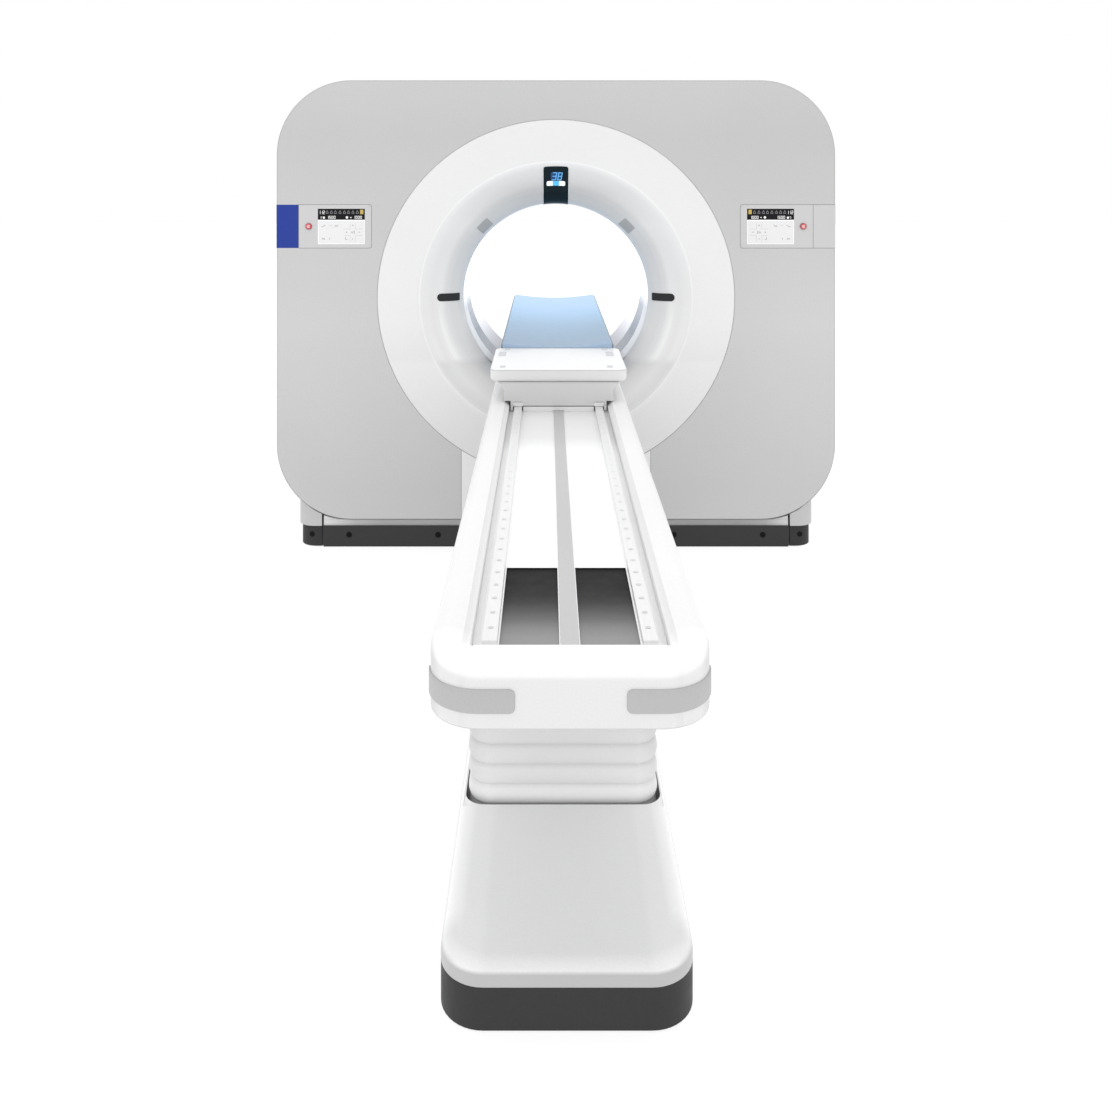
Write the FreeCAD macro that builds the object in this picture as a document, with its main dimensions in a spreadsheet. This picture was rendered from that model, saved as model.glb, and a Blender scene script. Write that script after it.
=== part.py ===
"""CT scanner: a gantry with a patient bore, and a couch whose table slides into it.

Millimetres. +X is right and +Y is towards the gantry for someone who stands at the couch's free end,
+Z is up. The origin lies on the floor below the isocentre, which is the middle of the bore.
"""

import FreeCAD, Part
import math
import os
import re

import Sketcher

# Driving dimensions: name, millimetres (or degrees, or a count) and what it is.
SIZES = (
    ("gantry_width", 2374, "front cover, side to side"),
    ("gantry_height", 1984, "floor to the top of the covers"),
    ("cover_bottom", 116, "floor to the lower edge of the covers"),
    ("cover_corner", 318, "corner radius of the covers"),
    ("cover_wall", 6, "moulded wall of the covers"),
    ("cover_chamfer", 5, "bevel round the outer edge of the covers"),
    ("tray_depth", 120, "depth of the front and rear covers"),
    ("body_inset", 85, "how far the gantry body stands inside the covers"),
    ("seam", 0.8, "gap between neighbouring covers"),
    ("front_reach", 375, "isocentre to the front face"),
    ("rear_reach", 575, "isocentre to the rear face"),
    ("bore_height", "=gantry_height * 529 / 992", "floor to the bore axis"),
    ("bore_radius", 400, "patient bore"),
    ("liner_wall", 5, "wall of the bore liner"),
    ("window_half", 111, "half the width of the scan window"),
    ("ring_radius", 759, "outer edge of the white front funnel"),
    ("ring_edge", 12, "thickness of that outer edge"),
    ("crease_radius", 578, "where the flat ring turns into the bell"),
    ("throat_depth", 116, "front face to the start of the straight bore"),
    ("bell_round", 84.2, "radius of the bell's rounded mouth"),
    ("bell_turn", 78, "degrees that the mouth turns through"),
    ("knee_radius", 595, "back of the funnel: radius where its taper starts"),
    ("knee_depth", 120, "back of the funnel: end of its taper behind the front face"),
    ("rear_throat", 455, "isocentre to the end of the straight bore"),
    ("rear_flare", 480, "bore radius at the rear face"),
    ("apron_half", 401, "half the width of the panel below the ring"),
    ("apron_wall", 12, "thickness of that panel"),
    ("base_height", 80, "height of the gantry base frame"),
    ("base_inset", 22, "base frame behind the front and rear faces"),
    ("base_side", 19, "base frame inside the corner pods"),
    ("bay_side", 337, "openings in the base frame, from the sides of the covers"),
    ("bay_half", "=gantry_width / 2 - bay_side", "half the width of those openings"),
    ("bay_rail", 55, "front and rear rails of the base frame"),
    ("web_front", 60, "isocentre to the front of the base web"),
    ("web_rear", 330, "isocentre to the rear of the base web"),
    ("anchor_side", 217, "gantry anchor holes, from the sides of the covers"),
    ("anchor_x", "=gantry_width / 2 - anchor_side", "gantry anchor holes, from the centre line"),
    ("anchor_inset", 95, "gantry anchor holes, from the frame's ends"),
    ("anchor_radius", 9, "gantry anchor holes"),
    ("kick_height", 90, "top of the dark kick plates"),
    ("kick_gap", 2, "kick plates above the floor"),
    ("kick_inset", 3, "kick plates behind the front face"),
    ("strip_inset", 9, "pale strip behind the front face"),
    ("strip_wall", 14, "thickness of the pale strip"),
    ("pod_reach", 107, "width of a corner pod on the front"),
    ("pod_gap", 7, "gap between a corner pod and the kick plate"),
    ("pod_wall", 10, "wall of the corner pods"),
    ("pod_radius", 75, "plan radius of the corner pods"),
    ("pod_top", 250, "top of the corner pods"),
    ("skirt_inset", 9, "dark skirt inside the pale pod"),
    ("kick_screw_radius", 9, "heads of the kick plate screws"),
    ("kick_screw_x_inner", 501, "inner kick plate screws"),
    ("kick_screw_side", 308, "outer kick plate screws, from the sides of the covers"),
    ("kick_screw_x_outer", "=gantry_width / 2 - kick_screw_side", "outer kick plate screws"),
    ("kick_screw_head", 2, "height of their heads"),
    ("kick_screw_height", 52, "height of those screws above the floor"),
    ("panel_gap", 25, "white ring to the control panels"),
    ("panel_side", 95, "width of the plate beside a control panel"),
    ("panel_inner", "=ring_radius + panel_gap", "control panel, inner edge"),
    ("panel_outer", "=gantry_width / 2 - panel_side", "control panel, outer edge"),
    ("panel_rise", 213, "bore axis to the control panel's lower edge"),
    ("panel_height", 184, "height of the control panel"),
    ("panel_low", "=bore_height + panel_rise", "control panel, lower edge"),
    ("panel_high", "=panel_low + panel_height", "control panel, upper edge"),
    ("panel_depth", 26, "depth of the control panel housing"),
    ("panel_radius", 14, "inner corners of the control panel"),
    ("screen_margin_inner", 28, "touchscreen to the panel's inner edge"),
    ("screen_margin_outer", 81, "touchscreen to the panel's outer edge"),
    ("screen_margin_low", 16.5, "touchscreen to the panel's lower edge"),
    ("screen_margin_high", 17.5, "touchscreen to the panel's upper edge"),
    ("screen_inner", "=panel_inner + screen_margin_inner", "touchscreen, inner edge"),
    ("screen_outer", "=panel_outer - screen_margin_outer", "touchscreen, outer edge"),
    ("screen_low", "=panel_low + screen_margin_low", "touchscreen, lower edge"),
    ("screen_high", "=panel_high - screen_margin_high", "touchscreen, upper edge"),
    ("screen_wall", 3, "thickness of the touchscreen"),
    ("button_margin", 42, "stop button to the panel's outer edge"),
    ("button_x", "=panel_outer - button_margin", "stop button, from the centre line"),
    ("button_z", "=(panel_low + panel_high) / 2", "stop button, above the floor"),
    ("button_radius", 12.7, "stop button"),
    ("button_proud", 7, "stop button in front of the panel"),
    ("button_back", 14, "stop button behind the panel's face"),
    ("button_well", 20, "depth of the well that the button sinks into"),
    ("button_clearance", 0.3, "radial play of the button"),
    ("glass_wall", 4, "thickness of the display and the bell's windows"),
    ("display_turn", 12.8, "status display, degrees round the bore"),
    ("display_start", 0.15, "status display, share of the bell's slope above it"),
    ("laser_angle", 45, "laser windows, degrees from the top"),
    ("laser_turn", 9, "laser windows, degrees round the bore"),
    ("sensor_turn", 4.3, "side sensors, degrees round the bore"),
    ("sensor_start", 0.66, "side sensors, share of the bell's slope outside them"),
    ("stator_front", 225, "isocentre to the stator frame's front face"),
    ("stator_wall", 40, "thickness of the stator frame"),
    ("stator_half", 750, "half the width of the stator frame"),
    ("stator_hole", 560, "hole in the stator frame"),
    ("stator_rise", 662, "bore axis to the top of the stator frame"),
    ("stator_top", "=bore_height + stator_rise", "top of the stator frame"),
    ("stator_top_half", 480, "half its width there"),
    ("gusset_x", 700, "gussets, from the centre line"),
    ("gusset_wall", 30, "thickness of the gussets"),
    ("gusset_height", 520, "height of the gussets"),
    ("drum_front", 130, "isocentre to the rotor's front face"),
    ("drum_wall", 35, "thickness of the rotor"),
    ("drum_bore", 460, "hole in the rotor"),
    ("rotor_room", "=gantry_height - body_inset - cover_wall - bore_height", "axis to the top cover"),
    ("drum_play", 20, "rotor's corners to the top cover"),
    ("drum_radius", "=rotor_room - drum_play", "rotor, over its corners"),
    ("drum_sides", 12, "flats round the rotor"),
    ("race_inner", 500, "bearing, bore of the inner race"),
    ("race_split", 545, "bearing, outside of the inner race"),
    ("race_gap", 0.9, "bearing, gap between the races"),
    ("race_outer", 600, "bearing, outside of the outer race"),
    ("race_step", 5, "how far the races are offset along the axis"),
    ("slip_outer", 540, "slip ring, outer radius"),
    ("slip_length", 110, "slip ring, length"),
    ("brush_gap", 0.5, "brushes to slip ring"),
    ("brush_radius", 650, "brush block, outer radius"),
    ("brush_turn", 14, "brush block, degrees round the axis"),
    ("brush_angle", 135, "brush block, degrees from the top"),
    ("coil_inner", 640, "drive coils, inner radius"),
    ("coil_outer", 720, "drive coils, outer radius"),
    ("coil_turn", 40, "drive coils, degrees round the axis"),
    ("coil_gap", 1.0, "drive coils to rotor"),
    ("focus_radius", 620, "isocentre to the tube's focal spot"),
    ("tube_radius", 110, "X-ray tube housing"),
    ("tube_front", 170, "tube housing ahead of the isocentre"),
    ("collimator_half", 90, "half the width of the collimator"),
    ("collimator_reach", 70, "collimator ahead of the isocentre"),
    ("collimator_inner", 440, "collimator, from the axis"),
    ("collimator_outer", 505, "collimator, from the axis"),
    ("detector_radius", 1140, "focal spot to the detector"),
    ("detector_wall", 90, "depth of the detector"),
    ("detector_turn", 52, "detector, degrees about the focal spot"),
    ("detector_reach", 80, "detector ahead of the isocentre"),
    ("cooler_angle", 50, "tube cooler, degrees from the top"),
    ("cooler_inner", 520, "tube cooler, from the axis"),
    ("cooler_outer", 745, "tube cooler, from the axis"),
    ("cooler_half", 130, "half the width of the tube cooler"),
    ("cooler_reach", 120, "tube cooler ahead of the isocentre"),
    ("generator_angle", -62, "generator, degrees from the top"),
    ("generator_inner", 500, "generator, from the axis"),
    ("generator_outer", 740, "generator, from the axis"),
    ("generator_half", 165, "half the width of the generator"),
    ("generator_reach", 140, "generator ahead of the isocentre"),
    ("weight_angle", 118, "counterweight, degrees from the top"),
    ("weight_inner", 620, "counterweight, from the axis"),
    ("weight_outer", 760, "counterweight, from the axis"),
    ("weight_half", 120, "half the width of the counterweight"),
    ("weight_reach", 60, "counterweight ahead of the isocentre"),
    ("cabinet_side", 127, "power cabinet, from the sides of the covers"),
    ("cabinet_width", 290, "width of the power cabinet"),
    ("cabinet_outer", "=gantry_width / 2 - cabinet_side", "power cabinet, outer side"),
    ("cabinet_inner", "=cabinet_outer - cabinet_width", "power cabinet, inner side"),
    ("cabinet_front", 230, "power cabinet ahead of the isocentre"),
    ("cabinet_rear", 200, "power cabinet behind the isocentre"),
    ("cabinet_high", 480, "height of the power cabinet"),
    ("vent_count", 7, "vent slots in the rear cover"),
    ("vent_pitch", 34, "vent slots, one to the next"),
    ("vent_width", 420, "length of a vent slot"),
    ("vent_high", 14, "height of a vent slot"),
    ("vent_low", 250, "floor to the lowest vent slot"),
    ("couch_width", 462, "couch, side to side"),
    ("couch_near", 3200, "isocentre to the couch's free end"),
    ("couch_far", 450, "isocentre to the couch's gantry end"),
    ("couch_low", 703, "floor to the couch's underside"),
    ("couch_high", 835, "floor to the couch's deck"),
    ("couch_corner", 85, "plan radius of the free end"),
    ("couch_round", 25, "rounding of the deck's outer edge"),
    ("couch_bevel", 14, "bevel of the lower edge"),
    ("couch_nose", 84, "length of the closed free end"),
    ("couch_skin", 36, "side walls of the couch"),
    ("couch_end_wall", 6, "wall at the gantry end"),
    ("trough_half", 162, "half the width of the trough"),
    ("trough_bevel", 12.5, "bevel of the trough's long upper edges"),
    ("trough_near", 3165, "isocentre to the trough's free end"),
    ("trough_far", 470, "isocentre to the trough's gantry end"),
    ("floor_high", 803, "floor of the trough"),
    ("floor_wall", 8, "thickness of the trough's floor"),
    ("floor_cut", 40, "bevelled corners of the trough's floor"),
    ("frame_wall", 8, "wall of the couch's channel frame"),
    ("fit", 0.5, "play between pieces that sit in each other"),
    ("hatch_inner", 17.5, "floor openings, inner edge"),
    ("hatch_outer", 117.5, "floor openings, outer edge"),
    ("hatch_near", 3142, "isocentre to the near end of the floor openings"),
    ("hatch_far", 2776, "isocentre to the far end of the floor openings"),
    ("rail_x", 132.5, "couch rails, from the centre line"),
    ("rail_width", 25, "couch rails"),
    ("rail_high", 15.5, "couch rails"),
    ("rail_near", 3140, "isocentre to the near end of the rails"),
    ("rail_far", 500, "isocentre to the far end of the rails"),
    ("belt_half", 15.5, "half the width of the table belt"),
    ("belt_wall", 3, "thickness of the table belt"),
    ("motor_half", 60, "half the width of the table motor"),
    ("motor_near", 760, "isocentre to the near end of the table motor"),
    ("motor_far", 560, "isocentre to the far end of the table motor"),
    ("bumper_low", 730, "bumpers, lower edge"),
    ("bumper_high", 768, "bumpers, upper edge"),
    ("bumper_proud", 3, "bumpers stand out from the couch"),
    ("bumper_front", 88.5, "bumpers' inner ends, from the centre line"),
    ("bumper_side", 90, "bumpers' run along the side"),
    ("base_width", 484, "couch base, side to side"),
    ("foot_near", 2920, "isocentre to the couch base's free end"),
    ("foot_corner", 86, "plan radius of the couch base"),
    ("foot_skirt_high", 81, "top of the dark skirt"),
    ("foot_high", 129, "top of the couch base"),
    ("foot_wall", 7, "wall of the dark skirt"),
    ("foot_cover_wall", 5, "wall of the base cover"),
    ("foot_bevel", 9, "bevel of the base cover"),
    ("foot_plate", 12, "thickness of the couch base plate"),
    ("foot_anchor_x", 190, "couch anchor holes, from the centre line"),
    ("foot_anchor_near", 2700, "near couch anchor holes"),
    ("foot_anchor_far", 700, "far couch anchor holes"),
    ("foot_anchor_radius", 8, "couch anchor holes"),
    ("bellows_width", 447, "bellows, side to side"),
    ("bellows_near", 2410, "isocentre to the near side of the bellows"),
    ("bellows_far", 1450, "isocentre to the far side of the bellows"),
    ("bellows_corner", 40, "plan radius of the bellows"),
    ("bellows_facets", 3, "flats round each corner of the bellows"),
    ("bellows_low", 25, "foot of the bellows"),
    ("bellows_folds", 15, "folds of the bellows"),
    ("bellows_depth", 14, "depth of a fold"),
    ("bellows_wall", 8, "wall inside the folds"),
    ("bellows_gap", 8, "gap between the bellows and the base cover"),
    ("bellows_front_gap", 26, "that gap at the front"),
    ("column_half_x", 150, "outer lift column, half its width"),
    ("column_half_y", 210, "outer lift column, half its length"),
    ("column_wall", 10, "wall of the lift columns"),
    ("column_high", 450, "top of the outer lift column"),
    ("column_inner_low", 200, "foot of the inner lift column"),
    ("actuator_radius", 30, "lift actuator tube"),
    ("actuator_high", 380, "top of the lift actuator tube"),
    ("rod_radius", 20, "lift actuator rod"),
    ("rod_low", 215, "foot of the lift actuator rod"),
    ("block_near", 1393, "isocentre to the near face of the carriage"),
    ("block_far", 960, "isocentre to the far face of the carriage"),
    ("block_width", 451, "carriage top, side to side"),
    ("block_low", 900, "underside of the carriage top"),
    ("block_high", 942, "top of the carriage"),
    ("block_corner", 30, "plan radius of the carriage top"),
    ("block_bevel", 6, "bevel of its upper edge"),
    ("saddle_half", 158, "half the width of the carriage's foot, inside the trough"),
    ("saddle_deck_half", 181, "half its width above the decks"),
    ("deck_play", 2, "carriage over the couch's decks"),
    ("saddle_low", 812, "underside of the carriage's foot"),
    ("saddle_flare_half", 200, "half its width below the carriage top"),
    ("saddle_flare_low", 874, "where it starts to widen"),
    ("shelf_half", 150, "half the width of the shelf under the table"),
    ("shelf_far", 820, "isocentre to the far end of that shelf"),
    ("shelf_low", 880, "underside of that shelf"),
    ("bearing_width", 35, "rail bearings"),
    ("bearing_length", 75, "rail bearings"),
    ("bearing_high", 16, "rail bearings"),
    ("bearing_inset", 40, "rail bearings, from the carriage's ends"),
    ("table_half", 207, "half the width of the table top"),
    ("table_far", 620, "far end of the table top, behind the isocentre"),
    ("table_wall", 30, "thickness of the table top"),
    ("table_low", 907.5, "underside of the table top at its middle"),
    ("table_dish", 18.5, "how far the table top dips at its middle"),
    ("mat_half", 203, "half the width of the mat"),
    ("mat_wall", 8, "thickness of the mat"),
)
ALIASES = {name for name, _, _ in SIZES}
WORD = re.compile(r"[A-Za-z_][A-Za-z_0-9]*")

doc = FreeCAD.newDocument("CTScanner")
sheet = doc.addObject("Spreadsheet::Sheet", "Sizes")
nodes = []


def fill_sheet():
    """Writes one row per size: its meaning, then its value under its alias."""
    for row, (alias, value, meaning) in enumerate(SIZES, start=1):
        sheet.set(f"A{row}", meaning)
        sheet.set(f"B{row}", str(value))
        sheet.setAlias(f"B{row}", alias)
    doc.recompute()


def bound(text):
    """An expression in sizes, as an object outside the sheet has to read it."""
    return WORD.sub(lambda found: f"Sizes.{found[0]}" if found[0] in ALIASES else found[0], str(text))


def value(text):
    """What an expression in sizes comes to."""
    return float(sheet.evalExpression(str(text)))


def keep(item, name):
    """Marks an object as one of the pieces, under the name its file gets."""
    item.Label = name
    nodes.append(item)
    return item


def put(item, x="0", y="0", z="0", turn=None):
    """Places an object, turned by so many degrees clockwise about +Y as seen from the couch."""
    if turn is not None:
        item.Placement.Rotation = FreeCAD.Rotation(FreeCAD.Vector(0, 1, 0), value(turn))
    for axis, text in zip("xyz", (x, y, z)):
        item.setExpression(f".Placement.Base.{axis}", bound(text))
    return item


# ---------------------------------------------------------------- bodies, sketches and features


def new_body(name):
    return doc.addObject("PartDesign::Body", name)


def origin_feature(body, role):
    return next(item for item in body.Origin.OriginFeatures if item.Role == role)


def new_sketch(body, role, offset="0"):
    """A sketch on one of the body's own planes. XZ faces the couch, so its offset runs towards it."""
    sketch = body.newObject("Sketcher::SketchObject", "Sketch")
    sketch.AttachmentSupport = (origin_feature(body, role), [""])
    sketch.MapMode = "FlatFace"
    sketch.setExpression(".AttachmentOffset.Base.z", bound(offset))
    return sketch


def constrain(sketch, kind, *where):
    """Adds a dimension whose value, the last argument, follows an expression."""
    index = sketch.addConstraint(Sketcher.Constraint(kind, *where[:-1], value(where[-1])))
    sketch.setExpression(f"Constraints[{index}]", bound(where[-1]))


def arc_between(start, end, radius, side):
    """The short arc from start to end that turns left (side 1) or right (side -1)."""
    chord = end - start
    middle = start + chord * 0.5
    normal = FreeCAD.Vector(-chord.y, chord.x, 0).normalize()
    rise = math.sqrt(max(radius**2 - (chord.Length / 2) ** 2, 0))
    centre = middle + normal * rise * side
    first, last = (start, end) if side > 0 else (end, start)
    angles = [math.atan2(p.y - centre.y, p.x - centre.x) for p in (first, last)]
    circle = Part.Circle(centre, FreeCAD.Vector(0, 0, 1), radius)
    return Part.ArcOfCircle(circle, angles[0], angles[1])


def outline(sketch, points):
    """A closed outline. A point is (x, y), reached by a line, or (x, y, radius, side), reached by an arc
    that turns left for side 1 and right for side -1."""
    places = [FreeCAD.Vector(value(p[0]), value(p[1]), 0) for p in points]
    ends = []
    for index, point in enumerate(points):
        start, end = places[index - 1], places[index]
        if len(point) == 2:
            number = sketch.addGeometry(Part.LineSegment(start, end), False)
            ends.append((number, 1, 2))
        else:
            arc = arc_between(start, end, value(point[2]), point[3])
            number = sketch.addGeometry(arc, False)
            ends.append((number, 1, 2) if point[3] > 0 else (number, 2, 1))
            constrain(sketch, "Radius", number, point[2])
    for index, point in enumerate(points):
        number, _, last = ends[index]
        following, first, _ = ends[(index + 1) % len(points)]
        sketch.addConstraint(Sketcher.Constraint("Coincident", number, last, following, first))
        constrain(sketch, "DistanceX", number, last, point[0])
        constrain(sketch, "DistanceY", number, last, point[1])
    return sketch


def circle(sketch, x, y, radius):
    centre = FreeCAD.Vector(value(x), value(y), 0)
    number = sketch.addGeometry(Part.Circle(centre, FreeCAD.Vector(0, 0, 1), value(radius)), False)
    constrain(sketch, "DistanceX", number, 3, x)
    constrain(sketch, "DistanceY", number, 3, y)
    constrain(sketch, "Radius", number, radius)
    return sketch


def rectangle(sketch, x0, x1, y0, y1):
    return outline(sketch, [(x0, y0), (x1, y0), (x1, y1), (x0, y1)])


def rounded(sketch, x0, x1, y0, y1, radius):
    """A rectangle whose four corners have one radius."""
    r = f"({radius})"
    return outline(
        sketch,
        [
            (f"{x0} + {r}", y0),
            (f"{x1} - {r}", y0),
            (x1, f"{y0} + {r}", radius, 1),
            (x1, f"{y1} - {r}"),
            (f"{x1} - {r}", y1, radius, 1),
            (f"{x0} + {r}", y1),
            (x0, f"{y1} - {r}", radius, 1),
            (x0, f"{y0} + {r}"),
            (f"{x0} + {r}", y0, radius, 1),
        ][1:],
    )


def pad(body, sketch, length, flip=False):
    """Extrudes along the sketch's normal, or against it."""
    feature = body.newObject("PartDesign::Pad", "Pad")
    feature.Profile = sketch
    feature.Reversed = flip
    feature.setExpression("Length", bound(length))
    sketch.Visibility = False
    return feature


def pocket(body, sketch, length, flip=False):
    """Cuts against the sketch's normal, or along it, and makes sure that it has cut something."""
    doc.recompute()
    before = body.Shape.Volume
    feature = body.newObject("PartDesign::Pocket", "Pocket")
    feature.Profile = sketch
    feature.Reversed = flip
    feature.setExpression("Length", bound(length))
    sketch.Visibility = False
    doc.recompute()
    if not before - body.Shape.Volume > 1e-6 * before:
        raise RuntimeError(f"{body.Name}: a pocket cuts nothing")
    return feature


def revolve(body, sketch, turn="360", both_ways=False):
    """Turns a sketch of the YZ plane about the body's Y axis."""
    feature = body.newObject("PartDesign::Revolution", "Revolution")
    feature.Profile = sketch
    feature.ReferenceAxis = (origin_feature(body, "Y_Axis"), [""])
    feature.Midplane = both_ways
    feature.setExpression("Angle", bound(turn))
    sketch.Visibility = False
    return feature


def dress(body, kind, size, wanted):
    """Rounds (Fillet) or bevels (Chamfer) the edges of the last feature that wanted picks."""
    doc.recompute()
    last = body.Tip
    names = [f"Edge{n}" for n, edge in enumerate(last.Shape.Edges, start=1) if wanted(edge)]
    if not names:
        raise RuntimeError(f"{body.Name}: no edge to dress")
    feature = body.newObject(f"PartDesign::{kind}", kind)
    feature.Base = (last, names)
    feature.setExpression("Radius" if kind == "Fillet" else "Size", bound(size))
    return feature


def lies_at(axis, place):
    """Picks the edges that lie wholly at one place along an axis."""
    low, high = f"{axis.upper()}Min", f"{axis.upper()}Max"

    def wanted(edge):
        box, at = edge.BoundBox, value(place)
        return abs(getattr(box, low) - at) < 0.01 and abs(getattr(box, high) - at) < 0.01

    return wanted


def round_the_outside(height, far):
    """Picks the edges at a height, apart from those of the square end that faces the gantry."""
    at_height, at_end = lies_at("z", height), lies_at("y", f"-{far}")
    return lambda edge: at_height(edge) and not at_end(edge)


def box(name, x, y, z):
    """A plain block between two places along each axis."""
    item = doc.addObject("Part::Box", name)
    for side, (low, high) in zip(("Length", "Width", "Height"), (x, y, z)):
        item.setExpression(side, bound(f"({high}) - ({low})"))
    return put(item, x[0], y[0], z[0])


def rod(name, radius, length, x="0", y="0", z="0", along_y=False):
    """A plain cylinder that stands on its foot, or lies with its foot towards the couch."""
    item = doc.addObject("Part::Cylinder", name)
    if along_y:
        item.Placement.Rotation = FreeCAD.Rotation(FreeCAD.Vector(1, 0, 0), -90)
    item.setExpression("Radius", bound(radius))
    item.setExpression("Height", bound(length))
    return put(item, x, y, z)


def cut(name, base, *tools):
    """Takes the tools away from the base, one after the other."""
    result = base
    for tool in tools:
        step = doc.addObject("Part::Cut", name)
        step.Base, step.Tool = result, tool
        result = step
    return result


def mirrored(item, normal, y="0"):
    """A mirror image about the plane through (0, y, 0)."""
    image = doc.addObject("Part::Mirroring", f"{item.Name}_image")
    image.Source = item
    image.Normal = FreeCAD.Vector(*normal)
    image.setExpression("Base.y", bound(y))
    return image


def group(name, items):
    """Like pieces that share one file."""
    item = doc.addObject("Part::Compound", name)
    item.Links = items
    return keep(item, name)


def ring_body(name, turn=None):
    """A body whose own Y axis is the bore axis."""
    return put(new_body(name), z="bore_height", turn=turn)


def ring_profile(body, points):
    return outline(new_sketch(body, "YZ_Plane"), points)


def plain_ring(name, y0, y1, inner, outer):
    body = ring_body(name)
    revolve(body, ring_profile(body, [(y0, inner), (y1, inner), (y1, outer), (y0, outer)]))
    return keep(body, name)


# ---------------------------------------------------------------- gantry covers

HALF_WIDTH = "gantry_width / 2"
BODY_HALF = "(gantry_width / 2 - body_inset)"
MIDDLE_Y = "(rear_reach - front_reach) / 2"


def cover_outline(sketch, inset="0"):
    """The covers' rounded rectangle, drawn inside or outside their edge."""
    grow = f"({inset})"
    return rounded(
        sketch,
        f"-{HALF_WIDTH} + {grow}",
        f"{HALF_WIDTH} - {grow}",
        f"cover_bottom + {grow}",
        f"gantry_height - {grow}",
        f"cover_corner - {grow}",
    )


def panel_outline(sketch, side, far):
    """A control panel's outline: rounded towards the bore, square at its far edge."""
    inner, eased = f"{side} * panel_inner", f"{side} * (panel_inner + panel_radius)"
    return outline(
        sketch,
        [
            (far, "panel_low"),
            (far, "panel_high"),
            (eased, "panel_high"),
            (inner, "panel_high - panel_radius", "panel_radius", -side),
            (inner, "panel_low + panel_radius"),
            (eased, "panel_low", "panel_radius", -side),
        ],
    )


def front_cover():
    body = new_body("front_cover")
    pad(body, cover_outline(new_sketch(body, "XZ_Plane", "front_reach")), "tray_depth", flip=True)
    dress(body, "Chamfer", "cover_chamfer", lies_at("y", "-front_reach"))
    inside = cover_outline(new_sketch(body, "XZ_Plane", "front_reach - tray_depth"), "cover_wall")
    pocket(body, inside, "tray_depth - cover_wall", flip=True)
    hole = circle(new_sketch(body, "XZ_Plane", "front_reach"), "0", "bore_height", "ring_radius + seam")
    pocket(body, hole, "cover_wall + 1", flip=False)
    apron = new_sketch(body, "XZ_Plane", "front_reach")
    rectangle(apron, "-apron_half - seam", "apron_half + seam", "cover_bottom - 1", "bore_height - 1")
    pocket(body, apron, "tray_depth + 1", flip=False)
    for side in (-1, 1):
        place = new_sketch(body, "XZ_Plane", "front_reach")
        panel_outline(place, side, f"{side} * ({HALF_WIDTH} + cover_wall)")
        pocket(body, place, "cover_wall", flip=False)
    return keep(body, "front_cover")


def along(start, end, share):
    """The point at a share of the way from one point to another."""
    return tuple(f"({a}) + (({b}) - ({a})) * {share}" for a, b in zip(start, end))


def bell_point(step, lift="0"):
    """A point of the bell's mouth, so many thirds of its turn from the throat, or lifted off it."""
    angle, reach = f"(bell_turn * {step} / 3 * 1 deg)", f"(bell_round + {lift})"
    return (
        f"-front_reach + throat_depth - {reach} * sin{angle}",
        f"bore_radius + bell_round - {reach} * cos{angle}",
    )


def slope_point(share, lift="0"):
    """A point of the slope between the crease and the bell's mouth."""
    return along((f"-front_reach - {lift}", "crease_radius"), bell_point(3, lift), share)


def front_funnel():
    """The white ring, its crease, the bell and the straight front half of the bore, in one moulding."""
    body = ring_body("front_funnel")
    face = [("-front_reach", "ring_radius"), ("-front_reach", "crease_radius")]
    back = [
        ("-window_half", "bore_radius"),
        ("-window_half", "bore_radius + liner_wall"),
        ("-front_reach + knee_depth", "bore_radius + liner_wall"),
        ("-front_reach + ring_edge", "knee_radius"),
        ("-front_reach + ring_edge", "ring_radius"),
    ]
    revolve(body, ring_profile(body, face + [bell_point(step) for step in (3, 2, 1, 0)] + back))
    return keep(body, "front_funnel")


def bell_window(angle, turn, edge):
    """A thin window that lies on the bell. Edge gives its outline across the bell for a lift off it."""
    body = ring_body("window", turn=angle)
    revolve(body, ring_profile(body, edge("0") + edge("glass_wall")[::-1]), turn, both_ways=True)
    return body


def scan_window():
    return plain_ring("scan_window", "-window_half", "window_half", "bore_radius", "bore_radius + liner_wall")


def rear_funnel():
    body = ring_body("rear_funnel")
    revolve(
        body,
        ring_profile(
            body,
            [
                ("window_half", "bore_radius"),
                ("rear_throat", "bore_radius"),
                ("rear_reach", "rear_flare"),
                ("rear_reach", "rear_flare + liner_wall"),
                ("rear_throat", "bore_radius + liner_wall"),
                ("window_half", "bore_radius + liner_wall"),
            ],
        ),
    )
    return keep(body, "rear_funnel")


def rear_cover():
    body = new_body("rear_cover")
    pad(body, cover_outline(new_sketch(body, "XZ_Plane", "-rear_reach")), "tray_depth", flip=False)
    dress(body, "Chamfer", "cover_chamfer", lies_at("y", "rear_reach"))
    inside = cover_outline(new_sketch(body, "XZ_Plane", "-rear_reach + tray_depth"), "cover_wall")
    pocket(body, inside, "tray_depth - cover_wall", flip=False)
    hole = circle(
        new_sketch(body, "XZ_Plane", "-rear_reach"), "0", "bore_height", "rear_flare + liner_wall"
    )
    pocket(body, hole, "cover_wall + 1", flip=True)
    slot = new_sketch(body, "XZ_Plane", "-rear_reach")
    rectangle(slot, "-vent_width / 2", "vent_width / 2", "vent_low", "vent_low + vent_high")
    first = pocket(body, slot, "cover_wall + 1", flip=True)
    rows = body.newObject("PartDesign::LinearPattern", "Vents")
    rows.Originals = [first]
    rows.Direction = (origin_feature(body, "Z_Axis"), [""])
    rows.Mode = "Spacing"
    rows.setExpression("Offset", bound("vent_pitch"))
    rows.setExpression("Occurrences", bound("vent_count"))
    body.Tip = rows
    return keep(body, "rear_cover")


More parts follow.
